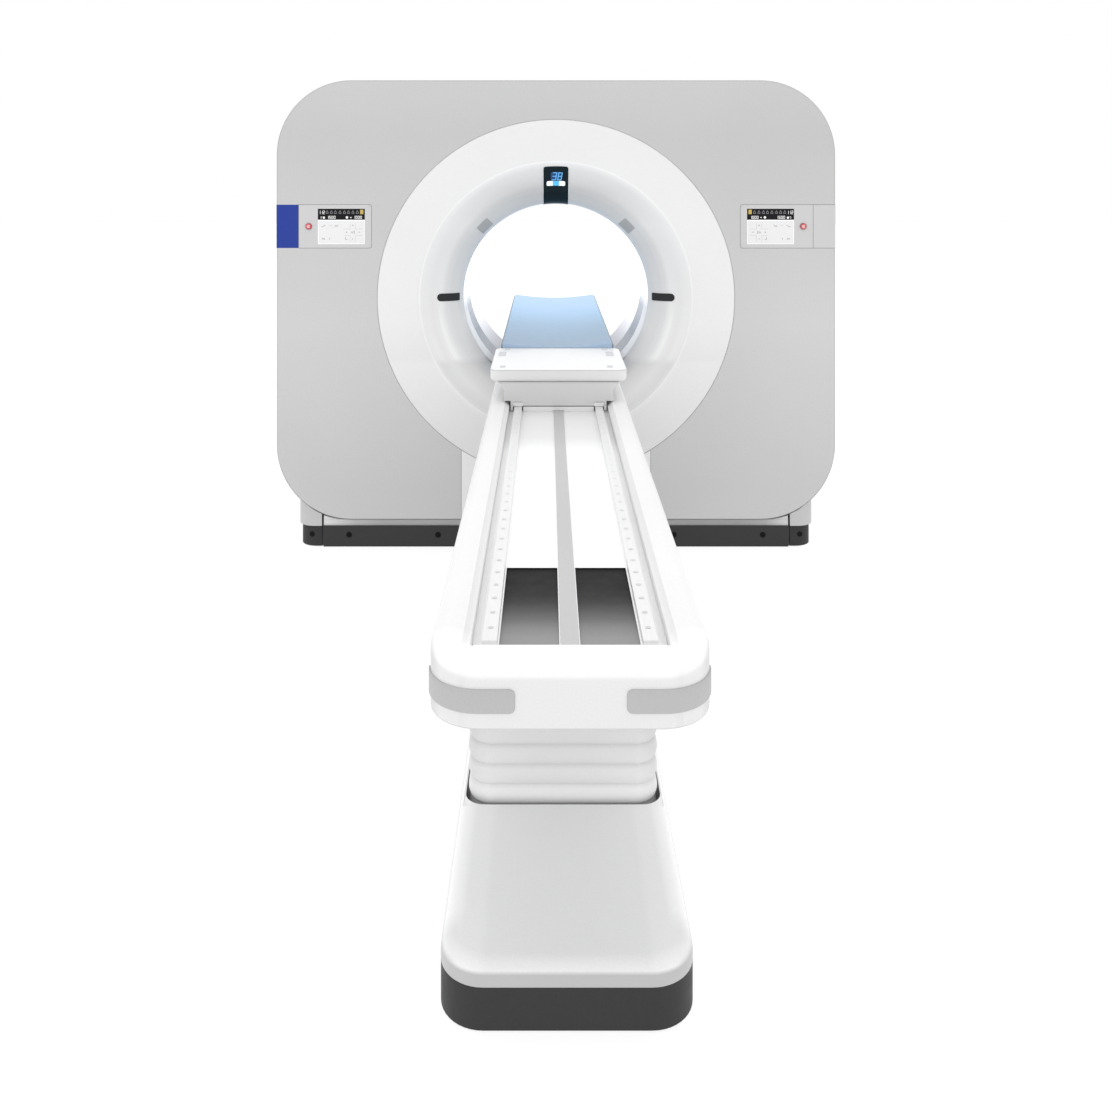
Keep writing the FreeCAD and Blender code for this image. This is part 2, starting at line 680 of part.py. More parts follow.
def front_apron():
    """The panel under the ring: its upper edge follows the ring."""
    body = new_body("front_apron")
    reach = "sqrt((ring_radius + seam) ^ 2 - apron_half ^ 2)"
    outline(
        sketch := new_sketch(body, "XZ_Plane", "front_reach"),
        [
            ("apron_half", "kick_height"),
            ("apron_half", f"bore_height - {reach}"),
            ("-apron_half", f"bore_height - {reach}", "ring_radius + seam", -1),
            ("-apron_half", "kick_height"),
        ],
    )
    pad(body, sketch, "apron_wall", flip=True)
    return keep(body, "front_apron")


def side_cover(name, side):
    near, far = f"{side} * {BODY_HALF}", f"{side} * ({BODY_HALF} - cover_wall)"
    x = sorted((near, far), key=value)
    y = ("-front_reach + cover_wall", "rear_reach - cover_wall")
    z = ("pod_top + seam", "gantry_height - cover_corner - seam")
    return keep(box(name, x, y, z), name)


def top_cover():
    """The arch between the front and rear covers."""
    body = new_body("top_cover")
    radius = "(cover_corner - body_inset)"
    spring, top = "gantry_height - cover_corner", "gantry_height - body_inset"
    flat = f"({BODY_HALF} - {radius})"
    outline(
        sketch := new_sketch(body, "XZ_Plane", "front_reach - cover_wall"),
        [
            (BODY_HALF, spring),
            (flat, top, radius, 1),
            (f"-{flat}", top),
            (f"-{BODY_HALF}", spring, radius, 1),
            (f"-{BODY_HALF} + cover_wall", spring),
            (f"-{flat}", f"{top} - cover_wall", f"{radius} - cover_wall", -1),
            (flat, f"{top} - cover_wall"),
            (f"{BODY_HALF} - cover_wall", spring, f"{radius} - cover_wall", -1),
        ],
    )
    pad(body, sketch, "front_reach + rear_reach - 2 * cover_wall", flip=True)
    return keep(body, "top_cover")


# ---------------------------------------------------------------- gantry base


def base_frame():
    body = new_body("gantry_base_frame")
    half = f"({BODY_HALF} - base_side)"
    front, rear = "-front_reach + base_inset", "rear_reach - base_inset"
    plan = rounded(new_sketch(body, "XY_Plane"), f"-{half}", half, front, rear, "pod_radius - pod_wall")
    pad(body, plan, "base_height")
    for y0, y1 in ((f"{front} + bay_rail", "-web_front"), ("web_rear", f"{rear} - bay_rail")):
        bay = rectangle(new_sketch(body, "XY_Plane"), "-bay_half", "bay_half", y0, y1)
        pocket(body, bay, "base_height", flip=True)
    holes = new_sketch(body, "XY_Plane")
    for x in ("-anchor_x", "anchor_x"):
        for y in (f"{front} + anchor_inset", f"{rear} - anchor_inset"):
            circle(holes, x, y, "anchor_radius")
    pocket(body, holes, "base_height", flip=True)
    return keep(body, "gantry_base_frame")


def corner_shell(name, inset, low, high):
    """An L-shaped wall round one corner of the gantry's foot, as far as the middle of its side."""
    body = new_body(name)
    outer, inner = f"({BODY_HALF} - {inset})", f"({BODY_HALF} - {inset} - pod_wall)"
    front, back = f"(-front_reach + kick_inset + {inset})", f"({MIDDLE_Y} - seam / 2)"
    end = f"({BODY_HALF} - pod_reach)"
    sketch = new_sketch(body, "XY_Plane", low)
    outline(
        sketch,
        [
            (f"-{end}", front),
            (f"-{end}", f"{front} + pod_wall"),
            (f"-{inner} + pod_radius - pod_wall", f"{front} + pod_wall"),
            (f"-{inner}", f"{front} + pod_radius", "pod_radius - pod_wall", -1),
            (f"-{inner}", back),
            (f"-{outer}", back),
            (f"-{outer}", f"{front} + pod_radius"),
            (f"-{outer} + pod_radius", front, "pod_radius", 1),
        ],
    )
    pad(body, sketch, f"{high} - {low}")
    return body


def four_corners(name, corner):
    left = [corner, mirrored(corner, (0, 1, 0), MIDDLE_Y)]
    return group(name, left + [mirrored(item, (1, 0, 0)) for item in left])


def corner_pods():
    """The pale corners. The front and rear covers lie over their tops."""
    corner = corner_shell("pod", "0", "kick_height", "pod_top")
    over = cover_outline(new_sketch(corner, "XZ_Plane", "front_reach + 1"), "-seam")
    pocket(corner, over, "tray_depth + seam + 1", flip=False)
    return four_corners("corner_pods", corner)


def corner_skirts():
    """The dark corners below the pods."""
    return four_corners("corner_skirts", corner_shell("skirt", "skirt_inset", "kick_gap", "kick_height"))


def kick_plates():
    half = f"({BODY_HALF} - pod_reach - pod_gap)"
    y = ("-front_reach + kick_inset", "-front_reach + base_inset")
    front = box("kick_plate", (f"-{half}", half), y, ("kick_gap", "kick_height"))
    return group("kick_plates", [front, mirrored(front, (0, 1, 0), MIDDLE_Y)])


def plinth_strips():
    """The pale strips between the kick plates and the covers."""
    half = f"({BODY_HALF} - pod_reach - pod_gap)"
    inner = "(apron_half + seam)"
    y = ("-front_reach + strip_inset", "-front_reach + strip_inset + strip_wall")
    z = ("kick_height", "cover_bottom")
    left = box("strip", (f"-{half}", f"-{inner}"), y, z)
    whole = box("rear_strip", (f"-{half}", half), [mirror_y(text) for text in reversed(y)], z)
    return group("plinth_strips", [left, mirrored(left, (1, 0, 0)), whole])


def mirror_y(text):
    """A place along Y, mirrored about the middle of the gantry."""
    return f"2 * {MIDDLE_Y} - ({text})"


def kick_plate_screws():
    """The heads of the screws, drawn as prisms of many sides."""
    screws = []
    for side in (-1, 1):
        for place in ("kick_screw_x_inner", "kick_screw_x_outer"):
            head = doc.addObject("Part::Prism", "screw")
            head.Polygon = 12
            head.Placement.Rotation = FreeCAD.Rotation(FreeCAD.Vector(1, 0, 0), -90)
            head.setExpression("Circumradius", bound("kick_screw_radius"))
            head.setExpression("Height", bound("kick_screw_head"))
            y = "-front_reach + kick_inset - kick_screw_head"
            screws.append(put(head, f"{side} * {place}", y, "kick_screw_height"))
    return group("kick_plate_screws", screws)


# ---------------------------------------------------------------- control panels and bell windows


def panel_bezel(name, side):
    """The housing that holds a touchscreen and a stop button."""
    body = new_body(name)
    sketch = panel_outline(new_sketch(body, "XZ_Plane", "front_reach"), side, f"{side} * panel_outer")
    pad(body, sketch, "panel_depth", flip=True)
    x = sorted((f"{side} * screen_inner", f"{side} * screen_outer"), key=value)
    recess = rectangle(new_sketch(body, "XZ_Plane", "front_reach"), *x, "screen_low", "screen_high")
    pocket(body, recess, "screen_wall")
    well = new_sketch(body, "XZ_Plane", "front_reach")
    circle(well, f"{side} * button_x", "button_z", "button_radius + button_clearance")
    pocket(body, well, "button_well")
    return keep(body, name)


def touchscreen(name, side):
    x = sorted((f"{side} * screen_inner", f"{side} * screen_outer"), key=value)
    y = ("-front_reach", "-front_reach + screen_wall")
    return keep(box(name, x, y, ("screen_low", "screen_high")), name)


def side_plate(name, side):
    """The coloured plate between a control panel and the cover's edge."""
    x = sorted((f"{side} * (panel_outer + seam)", f"{side} * {HALF_WIDTH}"), key=value)
    y = ("-front_reach", "-front_reach + cover_wall")
    return keep(box(name, x, y, ("panel_low", "panel_high")), name)


def stop_button(name, side):
    """A push button that slides in its panel's well."""
    y, length = "-front_reach - button_proud", "button_proud + button_back"
    return keep(rod(name, "button_radius", length, f"{side} * button_x", y, "button_z", True), name)


def status_display():
    """The display above the bore, from the bell's slope down to its throat."""
    def edge(lift):
        return [slope_point("display_start", lift)] + [bell_point(step, lift) for step in (3, 2, 1, 0)]

    return keep(bell_window("0", "display_turn", edge), "status_display")


def laser_windows():
    def edge(lift):
        first, middle, last = (bell_point(step, lift) for step in (3, 2, 1))
        return [along(middle, first, "0.8"), middle, along(middle, last, "0.8")]

    return group(
        "laser_windows",
        [bell_window(angle, "laser_turn", edge) for angle in ("-laser_angle", "laser_angle")],
    )


def side_sensors():
    def edge(lift):
        return [slope_point("sensor_start", lift)] + [bell_point(step, lift) for step in (3, 2, 1)]

    return group("side_sensors", [bell_window(angle, "sensor_turn", edge) for angle in ("-90", "90")])


# ---------------------------------------------------------------- gantry, fixed inner pieces


def stator_frame():
    """The upright plate that carries the main bearing, and its two gussets."""
    body = new_body("stator_frame")
    foot = "base_height"
    outline(
        sketch := new_sketch(body, "XZ_Plane", "-stator_front"),
        [
            ("stator_half", foot),
            ("stator_half", "bore_height"),
            ("stator_top_half", "stator_top"),
            ("-stator_top_half", "stator_top"),
            ("-stator_half", "bore_height"),
            ("-stator_half", foot),
        ],
    )
    circle(sketch, "0", "bore_height", "stator_hole")
    pad(body, sketch, "stator_wall", flip=True)
    for side in (-1, 1):
        rear, end = "stator_front + stator_wall", "rear_reach - tray_depth"
        gusset = new_sketch(body, "YZ_Plane", f"{side} * gusset_x - gusset_wall / 2")
        outline(gusset, [(rear, foot), (end, foot), (rear, f"{foot} + gusset_height")])
        pad(body, gusset, "gusset_wall")
    return keep(body, "stator_frame")


def bearing_outer_race():
    y0 = "drum_front + drum_wall + race_step"
    return plain_ring("bearing_outer_race", y0, "stator_front", "race_split + race_gap", "race_outer")


def ring_segment(name, angle, turn, y, r):
    """A block bent round the bore axis."""
    body = ring_body(name, turn=angle)
    points = [(y[0], r[0]), (y[1], r[0]), (y[1], r[1]), (y[0], r[1])]
    revolve(body, ring_profile(body, points), turn, both_ways=True)
    return body


def drive_coils():
    """The fixed half of the ring motor that turns the rotor."""
    y = ("drum_front + drum_wall + coil_gap", "stator_front")
    r = ("coil_inner", "coil_outer")
    return group("drive_coils", [ring_segment("coil", angle, "coil_turn", y, r) for angle in ("-90", "90")])


def brush_block():
    y = ("stator_front + stator_wall", "stator_front - race_step + slip_length")
    r = ("slip_outer + brush_gap", "brush_radius")
    return keep(ring_segment("brush_block", "brush_angle", "brush_turn", y, r), "brush_block")


def power_cabinet():
    x, y = ("-cabinet_outer", "-cabinet_inner"), ("-cabinet_front", "cabinet_rear")
    z = ("base_height", "base_height + cabinet_high")
    return keep(box("power_cabinet", x, y, z), "power_cabinet")


# ---------------------------------------------------------------- rotor


def rotor_drum():
    """The turning plate: a polygon with a round hole, which every rotating piece is bolted to."""
    body = ring_body("rotor_drum")
    sketch = new_sketch(body, "XZ_Plane", "-drum_front")
    sides = round(value("drum_sides"))
    corners = [360 * n / sides for n in range(sides)]
    outline(sketch, [(f"drum_radius * cos({a} deg)", f"drum_radius * sin({a} deg)") for a in corners])
    circle(sketch, "0", "0", "drum_bore")
    pad(body, sketch, "drum_wall", flip=True)
    return keep(body, "rotor_drum")


def bearing_inner_race():
    y = ("drum_front + drum_wall", "stator_front - race_step")
    return plain_ring("bearing_inner_race", *y, "race_inner", "race_split")


def slip_ring():
    y = ("stator_front - race_step", "stator_front - race_step + slip_length")
    return plain_ring("slip_ring", *y, "race_inner", "slip_outer")


def xray_tube():
    """The tube's housing, whose focal spot lies in the plane of the isocentre."""
    x, z = "0", "bore_height + focus_radius"
    item = rod("xray_tube", "tube_radius", "tube_front + drum_front", x, "-tube_front", z, True)
    return keep(item, "xray_tube")


def rotor_block(name, angle, half, reach, inner, outer):
    """A box on the rotor's front face, at an angle from the top."""
    body = ring_body(name, turn=angle)
    sketch = rectangle(new_sketch(body, "XZ_Plane", "-drum_front"), f"-{half}", half, inner, outer)
    pad(body, sketch, f"drum_front + {reach}", flip=False)
    return keep(body, name)


def detector_arc():
    """The curved detector, centred on the tube's focal spot."""
    body = put(new_body("detector_arc"), z="bore_height + focus_radius")
    near, far = "detector_radius", "(detector_radius + detector_wall)"
    across, down = "sin(detector_turn / 2 * 1 deg)", "cos(detector_turn / 2 * 1 deg)"
    outline(
        sketch := new_sketch(body, "XZ_Plane", "-drum_front"),
        [
            (f"-{near} * {across}", f"-{near} * {down}"),
            (f"-{far} * {across}", f"-{far} * {down}"),
            (f"{far} * {across}", f"-{far} * {down}", far, 1),
            (f"{near} * {across}", f"-{near} * {down}"),
            (f"-{near} * {across}", f"-{near} * {down}", near, -1),
        ][1:],
    )
    pad(body, sketch, "drum_front + detector_reach", flip=False)
    return keep(body, "detector_arc")


# ---------------------------------------------------------------- couch base and lift

COLUMN_Y = "-(bellows_near + bellows_far) / 2"


def foot_outline(sketch, inset="0"):
    """The couch base's plan: square towards the gantry, rounded at the free end."""
    half, radius = f"(base_width / 2 - {inset})", f"(foot_corner - {inset})"
    near = f"(-foot_near + {inset})"
    return outline(
        sketch,
        [
            (f"{half} - {radius}", near),
            (half, f"{near} + {radius}", radius, 1),
            (half, "-front_reach"),
            (f"-{half}", "-front_reach"),
            (f"-{half}", f"{near} + {radius}"),
            (f"-{half} + {radius}", near, radius, 1),
        ],
    )


def couch_base_plate():
    body = new_body("couch_base_plate")
    pad(body, foot_outline(new_sketch(body, "XY_Plane"), "foot_wall"), "foot_plate")
    holes = new_sketch(body, "XY_Plane")
    for x in ("-foot_anchor_x", "foot_anchor_x"):
        for y in ("-foot_anchor_near", "-foot_anchor_far"):
            circle(holes, x, y, "foot_anchor_radius")
    pocket(body, holes, "foot_plate", flip=True)
    return keep(body, "couch_base_plate")


def couch_base_skirt():
    body = new_body("couch_base_skirt")
    sketch = foot_outline(new_sketch(body, "XY_Plane", "kick_gap"))
    pad(body, sketch, "foot_skirt_high - kick_gap")
    inside = foot_outline(new_sketch(body, "XY_Plane", "kick_gap"), "foot_wall")
    pocket(body, inside, "foot_skirt_high", flip=True)
    return keep(body, "couch_base_skirt")


def couch_base_cover():
    """The pale lid of the couch base, with the opening that the bellows rises from."""
    body = new_body("couch_base_cover")
    pad(body, foot_outline(new_sketch(body, "XY_Plane", "foot_skirt_high")), "foot_high - foot_skirt_high")
    dress(body, "Chamfer", "foot_bevel", round_the_outside("foot_high", "front_reach"))
    inside = foot_outline(new_sketch(body, "XY_Plane", "foot_skirt_high"), "foot_cover_wall")
    pocket(body, inside, "foot_high - foot_skirt_high - foot_cover_wall", flip=True)
    half = "bellows_width / 2 + bellows_gap"
    near, far = "-bellows_near - bellows_front_gap", "-bellows_far + bellows_front_gap"
    hole = new_sketch(body, "XY_Plane", "foot_skirt_high")
    rounded(hole, f"-({half})", f"({half})", near, far, "bellows_corner + bellows_gap")
    pocket(body, hole, "foot_high", flip=True)
    return keep(body, "couch_base_cover")


def column_tube(body, half_x, half_y, low, high):
    """A rectangular tube about the lift's axis."""
    def wall(inset):
        y0, y1 = f"{COLUMN_Y} - {half_y} + {inset}", f"{COLUMN_Y} + {half_y} - {inset}"
        sketch = new_sketch(body, "XY_Plane", low)
        return rectangle(sketch, f"-{half_x} + {inset}", f"{half_x} - {inset}", y0, y1)

    pad(body, wall("0"), f"{high} - ({low})")
    pocket(body, wall("column_wall"), f"{high} - ({low})", flip=True)


def lift_column_outer():
    """The fixed lift column, on the foot plate that also carries the bellows."""
    body = new_body("lift_column_outer")
    column_tube(body, "column_half_x", "column_half_y", "foot_plate", "column_high")
    foot = new_sketch(body, "XY_Plane", "foot_plate")
    half = "(bellows_width / 2 - bellows_depth)"
    rectangle(foot, f"-{half}", half, "-bellows_near + bellows_depth", "-bellows_far - bellows_depth")
    pad(body, foot, "bellows_low - foot_plate")
    return keep(body, "lift_column_outer")


def lift_column_inner():
    body = new_body("lift_column_inner")
    gap = "(column_wall + fit)"
    sizes = (f"(column_half_x - {gap})", f"(column_half_y - {gap})")
    column_tube(body, *sizes, "column_inner_low", "couch_low")
    return keep(body, "lift_column_inner")


def lift_actuator():
    tube = rod("actuator", "actuator_radius", "actuator_high - bellows_low", y=COLUMN_Y, z="bellows_low")
    bore = rod("bore", "rod_radius + fit", "actuator_high", y=COLUMN_Y, z="2 * bellows_low")
    return keep(cut("lift_actuator", tube, bore), "lift_actuator")


def lift_actuator_rod():
    item = rod("lift_actuator_rod", "rod_radius", "couch_low - rod_low", y=COLUMN_Y, z="rod_low")
    return keep(item, "lift_actuator_rod")


def bellows_ring(height, inset):
    """The corners of one edge of a fold: a rectangle at a height, whose corners are cut into flats."""
    half, radius = value("bellows_width / 2") - inset, value("bellows_corner") - inset
    near, far = value("-bellows_near") + inset, value("-bellows_far") - inset
    facets = round(value("bellows_facets"))
    near_y, far_y = near + radius, far - radius
    quarters = ((1, near_y, 270), (1, far_y, 0), (-1, far_y, 90), (-1, near_y, 180))
    points = []
    for side, y, start in quarters:
        for step in range(facets + 1):
            angle = math.radians(start + 90 * step / facets)
            x = side * (half - radius) + radius * math.cos(angle)
            points.append(FreeCAD.Vector(x, y + radius * math.sin(angle), height))
    return points


def bellows():
    """The folded gaiter: flat trapeziums between the edges of its folds, round a straight passage."""
    low, high, folds = value("bellows_low"), value("couch_low"), round(value("bellows_folds"))
    depth = value("bellows_depth")
    pitch = (high - low) / folds
    rings = []
    for fold in range(folds):
        rings.append(bellows_ring(low + fold * pitch, depth))
        rings.append(bellows_ring(low + (fold + 0.5) * pitch, 0))
    rings.append(bellows_ring(high, depth))
    faces = [Part.Face(Part.makePolygon(ring + ring[:1])) for ring in (rings[0], rings[-1])]
    for lower, upper in zip(rings, rings[1:]):
        for index in range(len(lower)):
            corners = [lower[index - 1], lower[index], upper[index], upper[index - 1]]
            faces.append(Part.Face(Part.makePolygon(corners + corners[:1])))
    folded = Part.makeSolid(Part.makeShell(faces))
    inset = depth + value("bellows_wall")
    half, near, far = value("bellows_width / 2") - inset, value("-bellows_near"), value("-bellows_far")
    length = far - near - 2 * inset
    passage = Part.makeBox(2 * half, length, high, FreeCAD.Vector(-half, near + inset, 0))
    item = doc.addObject("Part::Feature", "bellows")
    item.Shape = folded.cut(passage)
    return keep(item, "bellows")


# ---------------------------------------------------------------- couch


def couch_outline(sketch):
    half, radius, near = "(couch_width / 2)", "couch_corner", "-couch_near"
    return outline(
        sketch,
        [
            (f"{half} - {radius}", near),
            (half, f"{near} + {radius}", radius, 1),
            (half, "-couch_far"),
            (f"-{half}", "-couch_far"),
            (f"-{half}", f"{near} + {radius}"),
            (f"-{half} + {radius}", near, radius, 1),
        ],
    )


def couch_body():
    """The couch's white moulding: two decks and a rounded nose round a long trough."""
    body = new_body("couch_body")
    pad(body, couch_outline(new_sketch(body, "XY_Plane", "couch_low")), "couch_high - couch_low")
    dress(body, "Fillet", "couch_round", round_the_outside("couch_high", "couch_far"))
    dress(body, "Chamfer", "couch_bevel", round_the_outside("couch_low", "couch_far"))
    half = "(couch_width / 2 - couch_skin)"
    inside = new_sketch(body, "XY_Plane", "couch_low")
    rectangle(inside, f"-{half}", half, "-couch_near + couch_nose", "-couch_far - couch_end_wall")
    pocket(body, inside, "floor_high - couch_low", flip=True)
    trough = new_sketch(body, "XY_Plane", "floor_high - floor_wall")
    rectangle(trough, "-trough_half", "trough_half", "-trough_near", "-trough_far")
    pocket(body, trough, "couch_high", flip=True)
    wide, edge = "(trough_half + trough_bevel)", "couch_high - trough_bevel"
    bevels = new_sketch(body, "XZ_Plane", "trough_near")
    right = [("trough_half", edge), (wide, "couch_high")]
    outline(bevels, right + [(f"-{x}", z) for x, z in reversed(right)])
    pocket(body, bevels, "trough_near - trough_far")
    return keep(body, "couch_body")


def couch_frame():
    """The channel that the couch is built on."""
    body = new_body("couch_frame")
    half = "(couch_width / 2 - couch_skin - fit)"
    top, wall = "floor_high - floor_wall", "frame_wall"
    near = "(couch_near - couch_nose - fit)"
    outline(
        sketch := new_sketch(body, "XZ_Plane", near),
        [
            (half, "couch_low"),
            (half, top),
            (f"{half} - {wall}", top),
            (f"{half} - {wall}", f"couch_low + {wall}"),
            (f"-{half} + {wall}", f"couch_low + {wall}"),
            (f"-{half} + {wall}", top),
            (f"-{half}", top),
            (f"-{half}", "couch_low"),
        ],
    )
    pad(body, sketch, f"{near} - couch_far - couch_end_wall - fit", flip=True)
    return keep(body, "couch_frame")


def trough_floor():
    """The floor between the rails, with two openings at the free end."""
    body = new_body("trough_floor")
    half, narrow = "(couch_width / 2 - couch_skin - fit)", "(trough_half - fit)"
    near, shoulder = "(-trough_near + fit)", "(-couch_near + couch_nose + fit)"
    far = "(-couch_far - couch_end_wall - fit)"
    outline(
        sketch := new_sketch(body, "XY_Plane", "floor_high - floor_wall"),
        [
            (narrow, near),
            (narrow, shoulder),
            (half, shoulder),
            (half, far),
            (f"-{half}", far),
            (f"-{half}", shoulder),
            (f"-{narrow}", shoulder),
            (f"-{narrow}", near),
        ],
    )
    for side in (-1, 1):
        x = sorted((f"{side} * hatch_inner", f"{side} * hatch_outer"), key=value)
        rectangle(sketch, *x, "-hatch_near", "-hatch_far")
    pad(body, sketch, "floor_wall")
    return keep(body, "trough_floor")


def couch_rails():
    x = ("rail_x - rail_width / 2", "rail_x + rail_width / 2")
    z = ("floor_high", "floor_high + rail_high")
    right = box("rail", x, ("-rail_near", "-rail_far"), z)
    return group("couch_rails", [right, mirrored(right, (1, 0, 0))])


def table_belt():
    z = ("floor_high", "floor_high + belt_wall")
    return keep(box("table_belt", ("-belt_half", "belt_half"), ("-rail_near", "-rail_far"), z), "table_belt")


def table_motor():
    z = ("couch_low + frame_wall", "floor_high - floor_wall")
    y = ("-motor_near", "-motor_far")
    return keep(box("table_motor", ("-motor_half", "motor_half"), y, z), "table_motor")


def couch_bumpers():
    """A grey strip round each corner of the free end."""
    body = new_body("bumper")
    half, radius, near = "(couch_width / 2)", "couch_corner", "(-couch_near)"
    outer = f"({radius} + bumper_proud)"
    end = f"{near} + bumper_side"
    outline(
        sketch := new_sketch(body, "XY_Plane", "bumper_low"),
        [
            ("bumper_front", f"{near} - bumper_proud"),
            (f"{half} - {radius}", f"{near} - bumper_proud"),
            (f"{half} + bumper_proud", f"{near} + {radius}", outer, 1),
            (f"{half} + bumper_proud", end),
            (half, end),
            (half, f"{near} + {radius}"),
            (f"{half} - {radius}", near, radius, -1),
            ("bumper_front", near),
        ],
    )
    pad(body, sketch, "bumper_high - bumper_low")
    return group("couch_bumpers", [body, mirrored(body, (1, 0, 0))])


# ---------------------------------------------------------------- carriage and table


def carriage_block():
    """The white carriage: a saddle that clears the rails, and the slab on top of it."""
    body = new_body("carriage_block")
    notch_in, notch_out = "(rail_x - bearing_width / 2 - fit)", "(rail_x + bearing_width / 2 + fit)"
    roof = "floor_high + rail_high + fit + bearing_high"
    right = [
        (notch_in, "saddle_low"),
        (notch_in, roof),
        (notch_out, roof),
        (notch_out, "saddle_low"),
        ("saddle_half", "saddle_low"),
        ("saddle_half", "couch_high + deck_play"),
        ("saddle_deck_half", "couch_high + deck_play"),
        ("saddle_deck_half", "saddle_flare_low"),
        ("saddle_flare_half", "block_low"),
    ]
    left = [(f"-{x}", z) for x, z in reversed(right)]
    sketch = outline(new_sketch(body, "XZ_Plane", "block_near - block_bevel"), right + left)
    pad(body, sketch, "block_near - block_bevel - block_far", flip=True)
    slab = new_sketch(body, "XY_Plane", "block_low")
    half = "block_width / 2"
    rounded(slab, f"-{half}", half, "-block_near", "-block_far", "block_corner")
    pad(body, slab, "block_high - block_low")
    shelf = new_sketch(body, "XY_Plane", "shelf_low")
    rectangle(shelf, "-shelf_half", "shelf_half", "-block_far - block_corner", "-shelf_far")
    pad(body, shelf, "table_low - shelf_low")
    dress(body, "Chamfer", "block_bevel", lies_at("z", "block_high"))
    return keep(body, "carriage_block")


def rail_bearings():
    """Four bearing blocks that run on the rails."""
    x = ("rail_x - bearing_width / 2", "rail_x + bearing_width / 2")
    z = ("floor_high + rail_high + fit", "floor_high + rail_high + fit + bearing_high")
    near = "(-block_near + bearing_inset)"
    far = "(-block_far - bearing_inset - bearing_length)"
    right = [box("bearing", x, (y, f"{y} + bearing_length"), z) for y in (near, far)]
    return group("rail_bearings", right + [mirrored(item, (1, 0, 0)) for item in right])


def dished(name, half, low, wall):
    """A long plate that dips along its middle, from the carriage to the far end of the table."""
    body = new_body(name)
    arc = "((table_half ^ 2 + table_dish ^ 2) / (2 * table_dish))"
    edge = f"{low} + {arc} - sqrt({arc} ^ 2 - {half} ^ 2)"
    outline(
        sketch := new_sketch(body, "XZ_Plane", "block_far"),
        [
            (half, edge, arc, 1),
            (half, f"{edge} + {wall}"),
            (f"-{half}", f"{edge} + {wall}", arc, -1),
            (f"-{half}", edge),
        ],
    )
    pad(body, sketch, "block_far + table_far", flip=True)
    return keep(body, name)


def tabletop():
    return dished("tabletop", "table_half", "table_low", "table_wall")


def table_mat():
    return dished("table_mat", "mat_half", "table_low + table_wall", "mat_wall")


# ---------------------------------------------------------------- everything


def build():
    front_cover()
    front_funnel()
    scan_window()
    rear_funnel()
    rear_cover()
    front_apron()
    side_cover("left_side_cover", -1)
    side_cover("right_side_cover", 1)
    top_cover()
    base_frame()
    corner_pods()
    corner_skirts()
    kick_plates()
    plinth_strips()
    kick_plate_screws()
    for name, side in (("left", -1), ("right", 1)):
        panel_bezel(f"{name}_panel_bezel", side)
        touchscreen(f"{name}_touchscreen", side)
        side_plate(f"{name}_side_plate", side)
        stop_button(f"{name}_stop_button", side)
    status_display()
    laser_windows()
    side_sensors()
    stator_frame()
    bearing_outer_race()
    drive_coils()
    brush_block()
    power_cabinet()
    rotor_drum()
    bearing_inner_race()
    slip_ring()
    xray_tube()
    rotor_block("collimator", "0", "collimator_half", "collimator_reach",
                "collimator_inner", "collimator_outer")
    rotor_block("tube_cooler", "cooler_angle", "cooler_half", "cooler_reach",
                "cooler_inner", "cooler_outer")
    rotor_block("hv_generator", "generator_angle", "generator_half", "generator_reach",
                "generator_inner", "generator_outer")
    rotor_block("counterweight", "weight_angle", "weight_half", "weight_reach",
                "weight_inner", "weight_outer")
    detector_arc()
    couch_base_plate()
    couch_base_skirt()
    couch_base_cover()
    lift_column_outer()
    lift_column_inner()
    lift_actuator()
    lift_actuator_rod()
    bellows()
    couch_body()
    couch_frame()
    trough_floor()
    couch_rails()
    table_belt()
    table_motor()
    couch_bumpers()
    carriage_block()
    rail_bearings()
    tabletop()
    table_mat()


def check_and_write():
    """Refuses a failed object or a bad shape, then writes one file for each piece."""
    for item in doc.Objects:
        if {"Invalid", "Error"} & set(item.State):
            raise RuntimeError(f"{item.Name} ({item.Label}) failed: {item.State}")
    for item in nodes:
        if item.Shape.isNull() or not item.Shape.isValid() or not item.Shape.Solids:
            raise RuntimeError(f"{item.Label} has a bad shape")
    os.makedirs("parts", exist_ok=True)
    for item in nodes:
        item.Shape.exportStep(f"parts/{item.Label}.step")


fill_sheet()
build()
doc.recompute()
check_and_write()
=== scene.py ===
"""The looks of a wide-bore CT scanner with its couch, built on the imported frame. Lengths are in metres."""
import math

import bpy
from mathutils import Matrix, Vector


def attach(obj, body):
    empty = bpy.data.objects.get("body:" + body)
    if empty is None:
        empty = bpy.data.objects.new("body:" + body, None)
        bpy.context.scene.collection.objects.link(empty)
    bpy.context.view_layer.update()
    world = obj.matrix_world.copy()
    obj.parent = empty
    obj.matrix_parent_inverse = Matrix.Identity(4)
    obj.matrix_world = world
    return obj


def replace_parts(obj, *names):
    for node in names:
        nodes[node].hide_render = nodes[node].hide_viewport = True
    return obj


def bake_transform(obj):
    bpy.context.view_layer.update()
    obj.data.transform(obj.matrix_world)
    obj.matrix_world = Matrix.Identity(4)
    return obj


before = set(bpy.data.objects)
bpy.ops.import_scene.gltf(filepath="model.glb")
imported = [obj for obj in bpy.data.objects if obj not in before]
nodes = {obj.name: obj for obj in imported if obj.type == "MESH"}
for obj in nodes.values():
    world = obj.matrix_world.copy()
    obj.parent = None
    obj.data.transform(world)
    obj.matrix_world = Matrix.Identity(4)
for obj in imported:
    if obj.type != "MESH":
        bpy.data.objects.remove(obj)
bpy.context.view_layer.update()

BORE_Z = 1.058  # height of the bore axis
FRONT = -0.375  # front face of the gantry
RING_R = 0.759  # outer edge of the white ring
CREASE_R = 0.578  # where the flat ring turns into the bell
SLOPE = 0.1163  # length of the bell's slope
